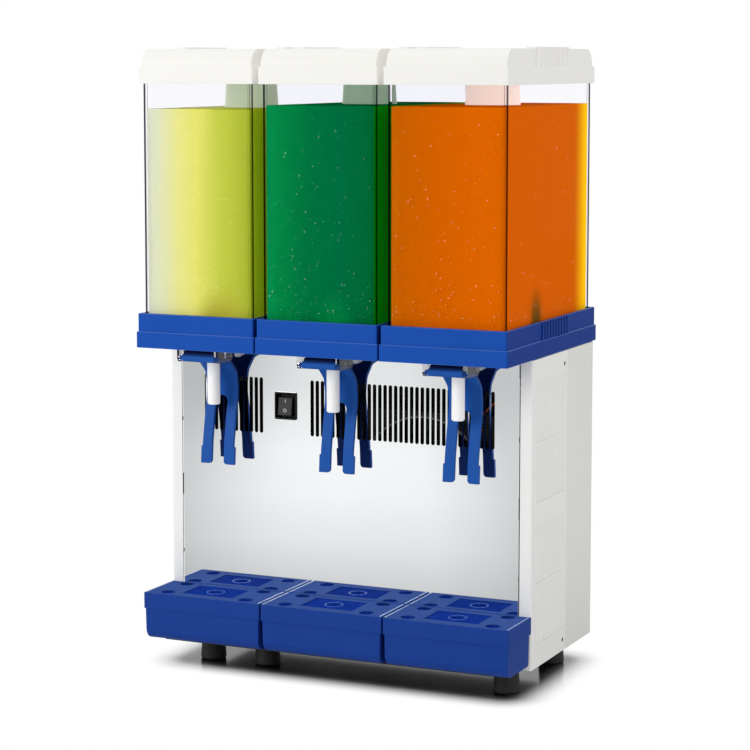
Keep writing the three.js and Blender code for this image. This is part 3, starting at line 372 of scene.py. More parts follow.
def laid(body, angle, axis, place):
    """Turns a body about an axis through the origin, then moves it to its place."""
    bmesh.ops.rotate(body, verts=body.verts, cent=(0, 0, 0), matrix=Matrix.Rotation(angle, 3, axis))
    bmesh.ops.translate(body, verts=body.verts, vec=place)
    return body


def block(x, y, z):
    """A square block between two values along each axis."""
    body = bmesh.new()
    bmesh.ops.create_cube(body, size=1.0)
    bmesh.ops.scale(body, verts=body.verts, vec=[abs(high - low) for low, high in (x, y, z)])
    bmesh.ops.translate(body, verts=body.verts, vec=[(low + high) / 2 for low, high in (x, y, z)])
    return body


def prism(outline, z):
    """A flat outline of a few (x, y) corners, stood up between two heights."""
    body = bmesh.new()
    foot_face = body.faces.new([body.verts.new((*corner, z[0])) for corner in outline])
    raised = bmesh.ops.extrude_face_region(body, geom=[foot_face], use_keep_orig=True)
    bmesh.ops.translate(body, verts=[v for v in raised["geom"] if isinstance(v, bmesh.types.BMVert)],
                        vec=(0, 0, z[1] - z[0]))
    bmesh.ops.recalc_face_normals(body, faces=body.faces)
    return body


def edges_along(body, axis, at=None):
    """The edges that run along an axis, 0 across, 1 in depth, 2 upright: all, or those at one (x, y)."""
    found = [edge for edge in body.edges
             if abs((edge.verts[0].co - edge.verts[1].co).normalized()[axis]) > 0.999]
    if at is None:
        return found
    return [edge for edge in found if (edge.verts[0].co.xy - Vector(at)).length < 5 * same_place]


def rounded(body, edges, radius, segments=6):
    """Rounds some of a body's edges."""
    bmesh.ops.bevel(body, geom=edges, offset=radius, segments=segments, affect="EDGES", profile=0.5,
                    material=-1)
    return body


def gathered(bodies):
    """Several bodies in one bmesh, side by side."""
    whole = bmesh.new()
    for body in bodies:
        part = bpy.data.meshes.new("part")
        body.to_mesh(part)
        body.free()
        whole.from_mesh(part)
        bpy.data.meshes.remove(part)
    return whole


def fused(name, first, added=(), taken=()):
    """Welds bodies onto the first one and takes the others out of it, as one piece."""
    piece = show(first, name)
    tools = []
    for way, bodies in (("UNION", added), ("DIFFERENCE", taken)):
        for body in bodies:
            tool = show(body, name + "_tool")
            weld = piece.modifiers.new("weld", "BOOLEAN")
            weld.operation, weld.solver, weld.object = way, "EXACT", tool
            tools.append(tool)
    bpy.context.view_layer.update()
    welded = bpy.data.meshes.new_from_object(piece.evaluated_get(bpy.context.evaluated_depsgraph_get()))
    piece.modifiers.clear()
    piece.data = welded
    for tool in tools:
        bpy.data.objects.remove(tool)
    return piece


white_paint = finish("white_paint", srgb(246, 246, 243), 0.36, shade=0.985, blotch=9, grain=700,
                     relief=0.00002, ior=1.3)
# The cabinet's inside faces are near black: painted shade.
inside_painted_shade = finish("inside_painted_shade", srgb(20, 20, 21), 0.7, shade=0.8)


def with_inside_shade(piece):
    """Numbers the large faces that look into the cabinet, which take a near-black painted shade."""
    for face in piece.data.polygons:
        inward = face.normal.dot(face.center - cabinet_middle) < 0
        face.material_index = int(inward and face.area > least_shaded_area and abs(face.normal.z) < 0.5)
    return piece


screw_steel = finish("screw_steel", srgb(70, 70, 72), 0.35, shade=0.7, metallic=1.0)
for side_name, side in (("left_side_panel", -1), ("right_side_panel", 1)):
    inner_x = panel_x - sheet
    folded = prism([(side * x, y) for x, y in (
        (flange_x, panel_front), (panel_x, panel_front), (panel_x, joint_y), (inner_x, joint_y),
        (inner_x, panel_front + sheet), (flange_x, panel_front + sheet))], (panel_low.z, panel_high.z))
    rounded(folded, edges_along(folded, 2, (side * panel_x, panel_front)), panel_round)
    rounded(folded, edges_along(folded, 2, (side * inner_x, panel_front + sheet)), panel_round - sheet)
    openings, blades = [], []
    for z in louvre_blocks:
        for i in range(louvre_count):
            front = louvre_front + i * louvre_pitch
            back = front + louvre_width
            openings.append(block(sorted((side * (inner_x - cut_past), side * (panel_x + cut_past))),
                                  (front, back), z))
            blades.append(prism([(side * x, y) for x, y in (
                (panel_x - blade_sunk, back + blade_lap), (inner_x, back + blade_lap),
                (inner_x - louvre_depth, front), (panel_x - louvre_depth, front))],
                (z[0] - blade_over, z[1] + blade_over)))
    blades.append(block(sorted(side * x for x in ledge_x), (ledge_front, joint_y), ledge_z))
    panel = soften(fused(side_name + "_sheet", folded, taken=[gathered(openings)]), sheet_edge, 1)
    fit(with_inside_shade(panel), (white_paint, inside_painted_shade), "white_paint", "cabinet", side_name)
    louvres = soften(show(gathered(blades), side_name + "_louvres"), sheet_edge, 1)
    fit(louvres, white_paint, "white_paint", "cabinet")
    for level, z in screw_heights.items():
        head = laid(turned(screw_outline, steps=20), side * math.pi / 2, "Y", (side * panel_x, screw_y, z))
        screw = soften(show(head, f"{side_name}_screw_{level}"))
        fit(screw, screw_steel, "plain_steel", "cabinet")


# Rear cover: one sheet folded round the back, painted white a little greyer than the sides. It has a
# grille for the cooling unit, the thermostat's hole and the mains inlet's cut-out.
cover_low, cover_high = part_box("rear_cover")
grille_x, grille_half, grille_foot = 0.085, 0.065, 0.070
grille_pitch, grille_count, grille_slot, grille_round = 0.016, 12, 0.006, 0.49
inlet_low, inlet_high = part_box("power_inlet")
inlet_x, inlet_z = (inlet_low.x + inlet_high.x) / 2, (inlet_low.z + inlet_high.z) / 2
inlet_hole_x, inlet_hole_z, inlet_hole_round = 0.021, 0.011, 0.002
knob_low, knob_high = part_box("thermostat_knob")
knob_x, knob_z = (knob_low.x + knob_high.x) / 2, (knob_low.z + knob_high.z) / 2
stem_hole, stem_hole_round = 0.0048, 0.0047


def rounded_opening(x, z, y, radius):
    """A cutter for an opening with rounded corners in an upright sheet."""
    body = block(x, y, z)
    return rounded(body, edges_along(body, 1), radius, 5)


cover_x, cover_back = cover_high.x, cover_high.y
inside_x, inside_back = cover_x - sheet, cover_back - sheet
folded = prism(((-cover_x, cover_low.y), (-cover_x, cover_back), (cover_x, cover_back),
                (cover_x, cover_low.y), (inside_x, cover_low.y), (inside_x, inside_back),
                (-inside_x, inside_back), (-inside_x, cover_low.y)), (cover_low.z, cover_high.z))
for side in (-1, 1):
    rounded(folded, edges_along(folded, 2, (side * cover_x, cover_back)), panel_round)
    rounded(folded, edges_along(folded, 2, (side * inside_x, inside_back)), panel_round - sheet)
through = (cover_back - 0.003, cover_back + cut_past)
openings = []
for i in range(grille_count):
    foot = grille_foot + i * grille_pitch
    openings.append(rounded_opening(span(grille_x, grille_half), (foot, foot + grille_slot), through,
                                    grille_slot * grille_round))
openings.append(rounded_opening(span(inlet_x, inlet_hole_x), span(inlet_z, inlet_hole_z), through,
                                inlet_hole_round))
openings.append(rounded_opening(span(knob_x, stem_hole), span(knob_z, stem_hole), through, stem_hole_round))
rear_cover = soften(fused("rear_cover_sheet", folded, taken=[gathered(openings)]), sheet_edge, 1)
cover_paint = finish("cover_paint", srgb(236, 236, 231), 0.36, shade=0.985, blotch=9, grain=700,
                     relief=0.00002, ior=1.3)
fit(with_inside_shade(rear_cover), (cover_paint, inside_painted_shade), "white_paint", "cabinet", "rear_cover")


# Mirror panel: stainless sheet, polished, in front of the cooling unit. A row of upright slots is punched
# through it for the fan's air, and the switch has its own cut-out. A dark joint shows at each side of it.
mirror_low, mirror_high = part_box("mirror_front_panel")
dark_joint, mirror_sheet = 0.0013, 0.0008
mirror_half = flange_x - dark_joint
slot_pitch, slot_half, slots_each_side, slot_foot, slot_top = 0.00645, 0.0022, 28, 0.277, 0.341
switch_x, switch_z, switch_clear = -0.075, 0.310, 0.0267
switch_hole_x, switch_hole_z = 0.0119, 0.0139
mirror_steel = finish("mirror_steel", srgb(247, 250, 251), 0.035, shade=0.985, blotch=5, grain=60,
                      relief=0.000003, metallic=1.0)
mirror_depth = (mirror_low.y, mirror_low.y + mirror_sheet)
through = (mirror_depth[0] - cut_past, mirror_depth[1] + cut_past)
openings = [rounded_opening(span(x, slot_half), (slot_foot, slot_top), through, slot_half * 0.98)
            for x in ((i + 0.5) * slot_pitch for i in range(-slots_each_side, slots_each_side))
            if abs(x - switch_x) > switch_clear]
openings.append(block(span(switch_x, switch_hole_x), through, span(switch_z, switch_hole_z)))
uncut = block(span(0, mirror_half), mirror_depth, (mirror_low.z, mirror_high.z))
mirror = fused("mirror_panel_sheet", uncut, taken=[gathered(openings)])
fit(mirror, mirror_steel, "mirror_steel", "cabinet", "mirror_front_panel")


# Top deck: an insulated white slab with a raised pad under each collar. It closes the cabinet at the top
# and carries the cooling towers.
deck_moulding = finish("deck_moulding", srgb(226, 226, 222), 0.4, grain=1200)
keep_solid("top_deck", deck_moulding)


# Cooling unit: a black compressor pot with a welded seam on its foot plate, a condenser of black fins, and
# a fan in a round shroud. It stands on the base plate and shows through the slots and the grille. An
# orange wire runs over it from the thermostat.
pot_place, pot_radius, pot_foot, pot_top = (-0.125, 0.0352), 0.058, 0.038, 0.196
pot_outline = ((0, pot_foot), (0.036, pot_foot), (0.050, pot_foot + 0.006), (0.0565, pot_foot + 0.018),
               (0.057, 0.112), (pot_radius, 0.1125), (pot_radius, 0.1175), (0.057, 0.118),
               (0.0565, pot_top - 0.024), (0.051, pot_top - 0.009), (0.038, pot_top - 0.0015), (0, pot_top))
foot_plate, foot_plate_z, foot_plate_round = (0.068, 0.048), (0.036, 0.040), 0.010
fan_x, fan_z, ring_radius, ring_wall, ring_front, ring_back = 0.085, 0.228, 0.075, 0.002, -0.042, -0.018
shroud_sheet, shroud_cut = 0.002, (0.010, 0.030)
arm_reach, arm_half, arm_depth = (0.0205, 0.0775), 0.005, (-0.018, -0.0105)
insulation_radius = 0.0011
wire_route = ((0.160, 0.088, 0.330), (0.190, 0.060, 0.345), (0.198, 0.0, 0.346), (0.187, -0.036, 0.338),
              (0.173, -0.046, 0.327), (0.163, -0.048, 0.316), (0.152, -0.047, 0.307), (0.147, -0.035, 0.298),
              (0.148, -0.0205, 0.290))


def plug(radius, z, middle=(0, 0), steps=64):
    """A round cutter between two heights."""
    return turned(((0, z[0]), (radius, z[0]), (radius, z[1]), (0, z[1])), middle, steps)


fin_paint = finish("fin_paint", srgb(22, 23, 24), 0.45, shade=0.7, metallic=0.5)
fan_moulding = finish("fan_moulding", srgb(12, 12, 13), 0.45, shade=0.8, ior=1.3)
# The shroud's ring is grey, not black: a painted highlight along it.
fan_ring_painted_highlight = finish("fan_ring_painted_highlight", srgb(104, 106, 108), 0.45, shade=0.9)
motor_steel = finish("motor_steel", srgb(126, 128, 130), 0.35, metallic=1.0)
pot = soften(show(turned(pot_outline, pot_place, 64), "compressor_pot"))
fit(pot, black_paint, "black_paint", "cabinet", "compressor")
plate = block(span(pot_place[0], foot_plate[0]), span(pot_place[1], foot_plate[1]), foot_plate_z)
rounded(plate, edges_along(plate, 2), foot_plate_round)
fit(soften(show(plate, "compressor_foot_plate"), 0.0008), black_paint, "black_paint", "cabinet")
keep_solid("condenser", fin_paint)
shroud_low, shroud_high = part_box("fan_shroud")
ring_outside = ring_radius + ring_wall
ring = turned(((ring_radius, -ring_back), (ring_outside, -ring_back), (ring_outside, -ring_front),
               (ring_radius, -ring_front), (ring_radius, -ring_back)), steps=72)
opening = plug(ring_radius, shroud_cut, steps=72)
for body in (ring, opening):
    laid(body, math.pi / 2, "X", (fan_x, 0, fan_z))
uncut = block((shroud_low.x, shroud_high.x), (ring_back - shroud_sheet, ring_back),
              (shroud_low.z, shroud_high.z))
shroud_plate = fused("fan_shroud_plate", uncut, taken=[opening])
fit(soften(shroud_plate, 0.0005), fan_moulding, "black_moulding", "cabinet", "fan_shroud")
fit(soften(show(ring, "fan_shroud_ring"), 0.0004), fan_ring_painted_highlight, "black_moulding", "cabinet")
arms = []
for way in (1, -1):
    reach, half = sorted(way * end for end in arm_reach), span(0, arm_half)
    arms += [block([fan_x + end for end in across], arm_depth, [fan_z + end for end in up])
             for across, up in ((reach, half), (half, reach))]
fit(soften(show(gathered(arms), "fan_motor_arms"), 0.001), fan_moulding, "black_moulding", "cabinet")
wire_insulation = finish("wire_insulation", srgb(226, 112, 22), 0.5)
wire_curve = bpy.data.curves.new("wire_curve", "CURVE")
wire_curve.dimensions = "3D"
wire_curve.bevel_depth, wire_curve.bevel_resolution = insulation_radius, 2
strand = wire_curve.splines.new("NURBS")
strand.points.add(len(wire_route) - 1)
for point, place in zip(strand.points, wire_route):
    point.co = (*place, 1)
strand.use_endpoint_u = True
drawn = bpy.data.objects.new("wire_drawn", wire_curve)
scene.collection.objects.link(drawn)
bpy.context.view_layer.update()
wire_mesh = bpy.data.meshes.new_from_object(drawn.evaluated_get(bpy.context.evaluated_depsgraph_get()))
bpy.data.objects.remove(drawn)
wire = bpy.data.objects.new("thermostat_wire", wire_mesh)
scene.collection.objects.link(wire)
fit(soften(wire), wire_insulation, "black_moulding", "cabinet")
keep_solid("fan_motor", motor_steel)
keep_solid("fan_blades", fan_moulding)


# Switch: a rocker in a black bezel that clips into the mirror panel, with a white bar at the top for on
# and a white ring at the bottom for off. The rocker stands with its top pressed in.
bezel_low, bezel_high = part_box("switch_bezel")
bezel_lip, well_depth, bezel_round, well_round = 0.0022, 0.0075, 0.0016, 0.0008
rocker_half_x, rocker_half_z, rocker_head, rocker_tilt = 0.0089, 0.0121, 0.0088, math.radians(8)
rocker_face, rocker_axis_y, rocker_root = mirror_low.y - 0.0024, mirror_low.y + 0.006, 0.0005
bar_height, bar_width, bar_z = 0.0034, 0.0007, switch_z + 0.0046
ring_out, ring_in, ring_z = 0.0021, 0.0014, switch_z - 0.0062
mark_proud, mark_sunk = 0.00012, 0.0002
mark_white = finish("mark_white", srgb(228, 228, 228), 0.4)
switch_black = finish("switch_black", srgb(13, 13, 14), 0.22, shade=0.85, ior=1.25)
bezel = block((bezel_low.x, bezel_high.x), (bezel_low.y, bezel_high.y), (bezel_low.z, bezel_high.z))
rounded(bezel, edges_along(bezel, 1), bezel_round, 4)
well = block((bezel_low.x + bezel_lip, bezel_high.x - bezel_lip),
             (bezel_low.y - cut_past, bezel_low.y + well_depth),
             (bezel_low.z + bezel_lip, bezel_high.z - bezel_lip))
rounded(well, edges_along(well, 1), well_round, 3)
bezel = soften(fused("switch_bezel_frame", bezel, taken=[well]), 0.0006, 3)
fit(bezel, switch_black, "black_moulding", "cabinet", "switch_bezel")


def on_rocker(body):
    """Leans a body with the rocker, about its pin across the switch."""
    bmesh.ops.rotate(body, verts=body.verts, cent=(switch_x, rocker_axis_y, switch_z),
                     matrix=Matrix.Rotation(-rocker_tilt, 3, "X"))
    return body


rocker = block(span(switch_x, rocker_half_x), (rocker_face, rocker_axis_y + rocker_root),
               (switch_z - rocker_half_z, switch_z + rocker_head))
on_bar = block(span(switch_x, bar_width / 2), (rocker_face - mark_proud, rocker_face + mark_sunk),
               span(bar_z, bar_height / 2))
mark_depth = mark_proud + mark_sunk
off_ring = turned(((ring_in, 0), (ring_out, 0), (ring_out, mark_depth), (ring_in, mark_depth), (ring_in, 0)),
                  steps=32)
laid(off_ring, math.pi / 2, "X", (switch_x, rocker_face + mark_sunk, ring_z))
rocker_key = soften(show(on_rocker(rocker), "switch_rocker_key"), 0.0007, 3)
fit(rocker_key, switch_black, "black_moulding", "rocker", "switch_rocker")
switch_marks = soften(show(on_rocker(gathered([on_bar, off_ring])), "switch_marks"))
fit(switch_marks, mark_white, "white_paint", "rocker")


# Mains inlet and thermostat: black mouldings in the rear cover. The inlet is a socket with three plated
# contact blades, and the thermostat's knob turns on its stem and has a raised grip with a white line.
inlet_flange, inlet_round, socket_half_x, socket_half_z, socket_wall = 0.002, 0.002, 0.0205, 0.0105, 0.002
contact_pitch, contact_half_x, contact_half_z = 0.014, 0.001, 0.002
contact_root, contact_length = 0.0005, 0.016
knob_radius, knob_skirt, stem_room = 0.015, 0.0033, (0.0034, 0.0042)
knob_grip_half_x, knob_grip_half_z, knob_grip_foot, knob_grip_round = 0.003, 0.012, 0.0022, 0.0024
line_half, line_foot, line_short, line_sunk, line_proud = 0.0005, 0.002, 0.0016, 0.0004, 0.0001
contact_metal = finish("contact_metal", srgb(192, 190, 186), 0.25, metallic=1.0)
inlet_plate = block((inlet_low.x, inlet_high.x), (inlet_high.y - inlet_flange, inlet_high.y),
                    (inlet_low.z, inlet_high.z))
rounded(inlet_plate, edges_along(inlet_plate, 1), inlet_round, 4)
socket = block(span(inlet_x, socket_half_x), (inlet_low.y, inlet_high.y - inlet_flange / 2),
               span(inlet_z, socket_half_z))
socket_hollow = block(span(inlet_x, socket_half_x - socket_wall),
                      (inlet_low.y + socket_wall, inlet_high.y + cut_past),
                      span(inlet_z, socket_half_z - socket_wall))
fit(soften(fused("power_inlet_socket", inlet_plate, added=[socket], taken=[socket_hollow]), 0.0004),
    switch_black, "black_moulding", "cabinet", "power_inlet")
contact_depth = (inlet_low.y + socket_wall - contact_root, inlet_low.y + contact_length)
contacts = [block(span(inlet_x + i * contact_pitch, contact_half_x), contact_depth,
                  span(inlet_z, contact_half_z)) for i in (-1, 0, 1)]
fit(soften(show(gathered(contacts), "power_inlet_contacts"), 0.0004), contact_metal, "black_moulding",
    "cabinet")
keep_solid("thermostat", switch_black)
skirt = turned(((0, 0), (knob_radius, 0), (knob_radius, knob_skirt), (0, knob_skirt)))
stem_bore = turned(((0, -cut_past), (stem_room[0], -cut_past), stem_room, (0, stem_room[1])), steps=32)
for body in (skirt, stem_bore):
    laid(body, -math.pi / 2, "X", (knob_x, knob_low.y, knob_z))
knob_grip = block(span(knob_x, knob_grip_half_x), (knob_low.y + knob_grip_foot, knob_high.y - line_proud),
                  span(knob_z, knob_grip_half_z))
rounded(knob_grip, edges_along(knob_grip, 1), knob_grip_round, 4)
fit(soften(fused("thermostat_knob_grip", skirt, added=[knob_grip], taken=[stem_bore]), 0.0005),
    switch_black, "black_moulding", "knob", "thermostat_knob")
knob_line = block(span(knob_x, line_half), (knob_high.y - line_sunk, knob_high.y),
                  (knob_z + line_foot, knob_z + knob_grip_half_z - line_short))
fit(soften(show(knob_line, "thermostat_knob_line")), mark_white, "white_paint", "knob")


# Cooling towers: in each tank a steel evaporator drum stands up through the floor, sealed by a rubber
# ring, with a milky tapering column on it in which an impeller drives the drink up. The column's colour
# is painted with the tint that light through the drink gives it, and it has a painted glow. A stirrer
# motor hangs under the deck.
modules = (1, 2, 3)
module_pitch = 0.150
column_foot, column_head = 0.4473, 0.6833
column_foot_radius, column_head_radius, column_wall = 0.0435, 0.0285, 0.0022
window_height, window_width, window_cut = 0.012, 0.016, 0.06
column_painted_glow, lid_painted_glow = 0.42, 0.36
column_painted_tints = {1: (184, 194, 174), 2: (148, 172, 148), 3: (246, 232, 222)}
drum_steel = finish("drum_steel", srgb(190, 193, 195), 0.24, shade=0.9, blotch=40, metallic=1.0)
ring_rubber = finish("ring_rubber", srgb(28, 28, 29), 0.6, shade=0.7)
white_moulding = finish("white_moulding", srgb(209, 208, 204), 0.34, shade=0.985, blotch=12, grain=1200,
                        relief=0.000006, ior=1.25)


def module_x(k):
    """How far module k stands from the middle."""
    return (k - 2) * module_pitch


def for_module(pattern, name, k):
    """A copy of a piece that was made at the middle, moved to module k in its mesh."""
    copy = pattern.copy()
    copy.data = pattern.data.copy()
    copy.name = f"{name}_{k}"
    copy.data.transform(Matrix.Translation((module_x(k), 0, 0)))
    scene.collection.objects.link(copy)
    return copy


def with_painted_glow(surface, share):
    """Gives a moulding or a drink a painted glow: it gives off some light in its own colour, though it is no
    lamp.
    """
    nodes, links = surface.node_tree.nodes, surface.node_tree.links
    shader = nodes["Principled BSDF"]
    links.new(shader.inputs["Base Color"].links[0].from_socket, shader.inputs["Emission Color"])
    shader.inputs["Emission Strength"].default_value = share
    return surface


# The white moulding of the lids, their grips and the impellers has a painted glow.
with_painted_glow(white_moulding, lid_painted_glow)
for k in modules:
    for node, surface in (("evaporator", drum_steel), ("tank_gasket", ring_rubber),
                          ("stirrer_motor", black_paint), ("impeller", white_moulding)):
        keep_solid(f"{node}_{k}", surface)

column_slope = (column_head_radius - column_foot_radius) / (column_head - column_foot)
window_z = (column_foot + window_height / 2, column_foot + 1.5 * window_height)
column_pattern = fused(
    "column_pattern",
    turned(((column_foot_radius - column_wall, column_foot), (column_foot_radius, column_foot),
            (column_head_radius, column_head), (column_head_radius - column_wall, column_head),
            (column_foot_radius - column_wall, column_foot)), steps=64),
    taken=[block(span(0, window_cut), span(0, window_width / 2), window_z),
           block(span(0, window_width / 2), span(0, window_cut), window_z)])
soften(column_pattern, 0.0005)
for k in modules:
    milky = finish(f"milky_column_{k}", srgb(*column_painted_tints[k]), 0.32, shade=0.95, blotch=30, ior=1.2)
    milky_column = with_painted_glow(milky, column_painted_glow)
    fit(for_module(column_pattern, "mixing_column_shell", k), milky_column, "milky_column", "cabinet",
        f"mixing_column_{k}")
bpy.data.objects.remove(column_pattern)


# Tanks: clear moulded boxes, open at the top, with rounded upright edges. Under the floor at the front
# hang a plate, the tap's round boss and the two ears that hold the lever, moulded in one with the tank.
tank_x, tank_y = 0.0685, 0.1333
tank_low, tank_high, tank_wall = 0.3885, 0.6913, 0.004
tank_corner, drum_hole, spout_bore, bracket_plate = 0.0048, 0.0521, 0.0077, 0.002
corner_face = 0.12
hinge_y, hinge_z, tap_y = -0.1305, 0.368, -0.0965
ear_outer, ear_inner, ear_depth, ear_reach, ear_drop, ear_corner = 0.026, 0.021, 0.034, 0.004, 0.0045, 0.004
boss_radius, boss_low = 0.013, 0.3803
clear_ior, bracket_ior, water_ior = 1.025, 1.4, 1.22
haze_from, most_haze = (0.45, 0.75), 0.03


def blend_colours(nodes, links, share, first, second):
    """Mixes two colours, each a socket or a plain colour."""
    mix = nodes.new("ShaderNodeMix")
    mix.data_type = "RGBA"
    links.new(share, mix.inputs["Factor"])
    for socket, colour in ((mix.inputs[6], first), (mix.inputs[7], second)):
        if isinstance(colour, tuple):
            socket.default_value = colour
        else:
            links.new(colour, socket)
    return mix.outputs[2]


def clear_plastic(name, colour, painted_edge_shade, edge_from, ior=clear_ior, scale=18.0):
    """Clear moulding: it mirrors little, is a little smeared, and has a painted shade where seen edge on."""
    surface, nodes, links, shader = new_surface(name)
    shader.inputs["Transmission Weight"].default_value = 1.0
    shader.inputs["IOR"].default_value = ior
    shader.inputs["Specular Tint"].default_value = (0.3, 0.3, 0.3, 1.0)
    turning = nodes.new("ShaderNodeLayerWeight")
    turning.inputs["Blend"].default_value = 0.5
    edge_on = scaled(nodes, links, turning.outputs["Facing"], *edge_from)
    links.new(blend_colours(nodes, links, edge_on, colour, painted_edge_shade), shader.inputs["Base Color"])
    place = nodes.new("ShaderNodeTexCoord")
    smears = nodes.new("ShaderNodeTexNoise")
    smears.inputs["Scale"].default_value = scale
    smears.inputs["Detail"].default_value = 5.0
    links.new(place.outputs["Object"], smears.inputs["Vector"])
    links.new(ranged(nodes, links, smears.outputs["Fac"], haze_from, (0, most_haze)),
              shader.inputs["Roughness"])
    return surface


clear_moulding = clear_plastic("clear_moulding", srgb(252, 252, 254), srgb(90, 90, 98), (0.7, 0.95))
corner_painted_shade = clear_plastic("corner_painted_shade", srgb(240, 240, 244), srgb(8, 8, 18), (0.03, 0.24))
bracket_moulding = clear_plastic("bracket_moulding", srgb(226, 226, 230), srgb(110, 110, 118), (0.6, 0.95),
                                 ior=bracket_ior)


def hollow_box(x, y, z, corner, wall):
    """A box with rounded upright edges, open at the top, with an even wall."""
    body = block((-x, x), (-y, y), z)
    rounded(body, edges_along(body, 2), corner)
    lid_face = max(body.faces, key=lambda face: face.calc_center_median().z)
    bmesh.ops.inset_region(body, faces=[lid_face], thickness=wall, use_even_offset=True)
    sunk = bmesh.ops.extrude_face_region(body, geom=[lid_face])
    bmesh.ops.delete(body, geom=[lid_face], context="FACES")
    bmesh.ops.translate(body, verts=[v for v in sunk["geom"] if isinstance(v, bmesh.types.BMVert)],
                        vec=(0, 0, z[0] - z[1] + wall))
    bmesh.ops.recalc_face_normals(body, faces=body.faces)
    return body


def in_each_module(pattern, name, surfaces, slot, body, *nodes):
    """Copies a piece that was made at the middle into each module, and takes the first one away."""
    for k in modules:
        fit(for_module(pattern, name, k), surfaces, slot, f"{body}_{k}", *[f"{node}_{k}" for node in nodes])
    bpy.data.objects.remove(pattern)


through_floor = (tank_low - cut_past, tank_low + tank_wall + 2 * cut_past)
tank_pattern = fused(
    "tank_pattern", hollow_box(tank_x, tank_y, (tank_low, tank_high), tank_corner, tank_wall),
    taken=[plug(drum_hole, through_floor), plug(spout_bore, through_floor, (0, tap_y))])
soften(tank_pattern, 0.0006)
ear_front, ear_low = hinge_y - ear_reach, hinge_z - ear_drop
ears = []
for side in (-1, 1):
    ear = block(sorted((side * ear_inner, side * ear_outer)), (ear_front, ear_front + ear_depth),
                (ear_low, tank_low))
    rounded(ear, [edge for edge in edges_along(ear, 0) if edge.verts[0].co.z < hinge_z], ear_corner)
    ears.append(ear)
bracket_pattern = fused(
    "bracket_pattern",
    block(span(0, ear_outer), (ear_front, tap_y + boss_radius), (tank_low - bracket_plate, tank_low)),
    added=ears + [plug(boss_radius, (boss_low, tank_low), (0, tap_y))],
    taken=[plug(spout_bore, (boss_low - cut_past, tank_low + cut_past), (0, tap_y))])
soften(bracket_pattern, 0.0005)
# Faces at the rounded corners take a painted dark line.
for face in tank_pattern.data.polygons:
    face.material_index = int(abs(face.normal.x) > corner_face and abs(face.normal.y) > corner_face)
in_each_module(tank_pattern, "tank_box", (clear_moulding, corner_painted_shade), "clear_tank", "tank_unit",
               "tank")
in_each_module(bracket_pattern, "tap_bracket", bracket_moulding, "clear_tank", "tank_unit")


# Water drops: the cold tanks sweat, so small flat drops of clear water sit on the front and the sides,
# more of them lower down. They lie on the plastic and move with the tank.
drops_on_front, drops_on_side = 170, 90
drop_low, drop_high, drop_gather = 0.425, 0.64, 1.6
drop_least, drop_more, drop_rarity = 0.00040, 0.00050, 3
drop_flat, drop_long = 0.45, 1.15
from_corner_x, from_corner_y = 0.007, 0.008
water = clear_plastic("water_drops", srgb(250, 250, 250), srgb(120, 120, 120), (0.5, 0.95), water_ior, 60.0)
scatter = random.Random(11)


def drop(place, flat_axis):
    """One drop of a random size, flat against the wall that it sits on."""
    size = drop_least + drop_more * scatter.random() ** drop_rarity
    body = bmesh.new()
    bmesh.ops.create_uvsphere(body, u_segments=8, v_segments=5, radius=size)
    stretch = [1.0, 1.0, drop_long]
    stretch[flat_axis] = drop_flat
    bmesh.ops.scale(body, verts=body.verts, vec=stretch)
    bmesh.ops.translate(body, verts=body.verts, vec=place)
    return body


def drop_height():
    """A random height, more often a low one."""
    return drop_low + (drop_high - drop_low) * scatter.random() ** drop_gather


def either_way(reach):
    """A random place up to this far to either side."""
    return (2 * scatter.random() - 1) * reach


for k in modules:
    drops = [drop((module_x(k) + either_way(tank_x - from_corner_x), -tank_y, drop_height()), 1)
             for _ in range(drops_on_front)]
    drops += [drop((module_x(k) + side * tank_x, either_way(tank_y - from_corner_y), drop_height()), 0)
              for side in (-1, 1) for _ in range(drops_on_side)]
    fit(soften(show(gathered(drops), f"tank_drops_{k}")), water, "clear_tank", f"tank_unit_{k}")


# Drinks: a cloudy lemon, a deep green and a bright orange, each filled to a few centimetres under the
# rim. The drink wets the tank's walls, so it reaches a hair into them, and it goes round the cooling tower.
# Its sides and rear corners have lighter tones and it has a glow, painted light for light coming through
# it, and a painted shade lies where the tower's foot stands in it.
drink_reach, drink_above_floor = 0.0003, 0.0001
drink_levels = {1: 0.6465, 2: 0.6515, 3: 0.6515}
drink_tones = {
    1: ((0.0, (194, 198, 182)), (0.10, (190, 194, 164)), (0.30, (198, 196, 118)), (0.5, (197, 194, 94)),
        (0.72, (166, 174, 60)), (0.93, (147, 158, 44))),
    2: ((0.0, (5, 130, 74)), (0.12, (3, 114, 56)), (0.4, (1, 96, 50)), (0.7, (1, 90, 52)),
        (0.93, (1, 88, 42))),
    3: ((0.0, (184, 96, 8)), (0.12, (172, 80, 1)), (0.5, (183, 82, 0)), (0.93, (192, 86, 0))),
}
drink_side_painted_light = {1: (176, 190, 30), 2: (6, 142, 10), 3: (194, 84, 0)}
drink_rear_painted_light = {1: (232, 232, 130), 2: (40, 168, 70), 3: (246, 196, 8)}
painted_tower_shades = {1: ((-0.122, -0.1333, 0.415), (0.040, 0.05, 0.040), (158, 152, 50)),
                2: ((0.018, -0.1333, 0.415), (0.030, 0.05, 0.040), (1, 108, 52)),
                3: ((0.2185, -0.033, 0.418), (0.05, 0.027, 0.044), (96, 62, 6))}
cloud_scale, cloud_stretch, cloud_share, cloud_shift = 34.0, (1, 1, 0.1), 0.16, 0.08
side_from, rear_from, corner_from, shade_from = (0.5, 0.9), (0.084, 0.138), (0.33, 0.46), (0.15, 1.0)
drink_painted_glow = 0.2
room_foot, ring_room, ring_room_top, drum_room, column_room = 0.385, 0.0524, 0.3945, 0.0477, 0.001
head_room, head_room_z = 0.0123, (0.390, 0.4035)


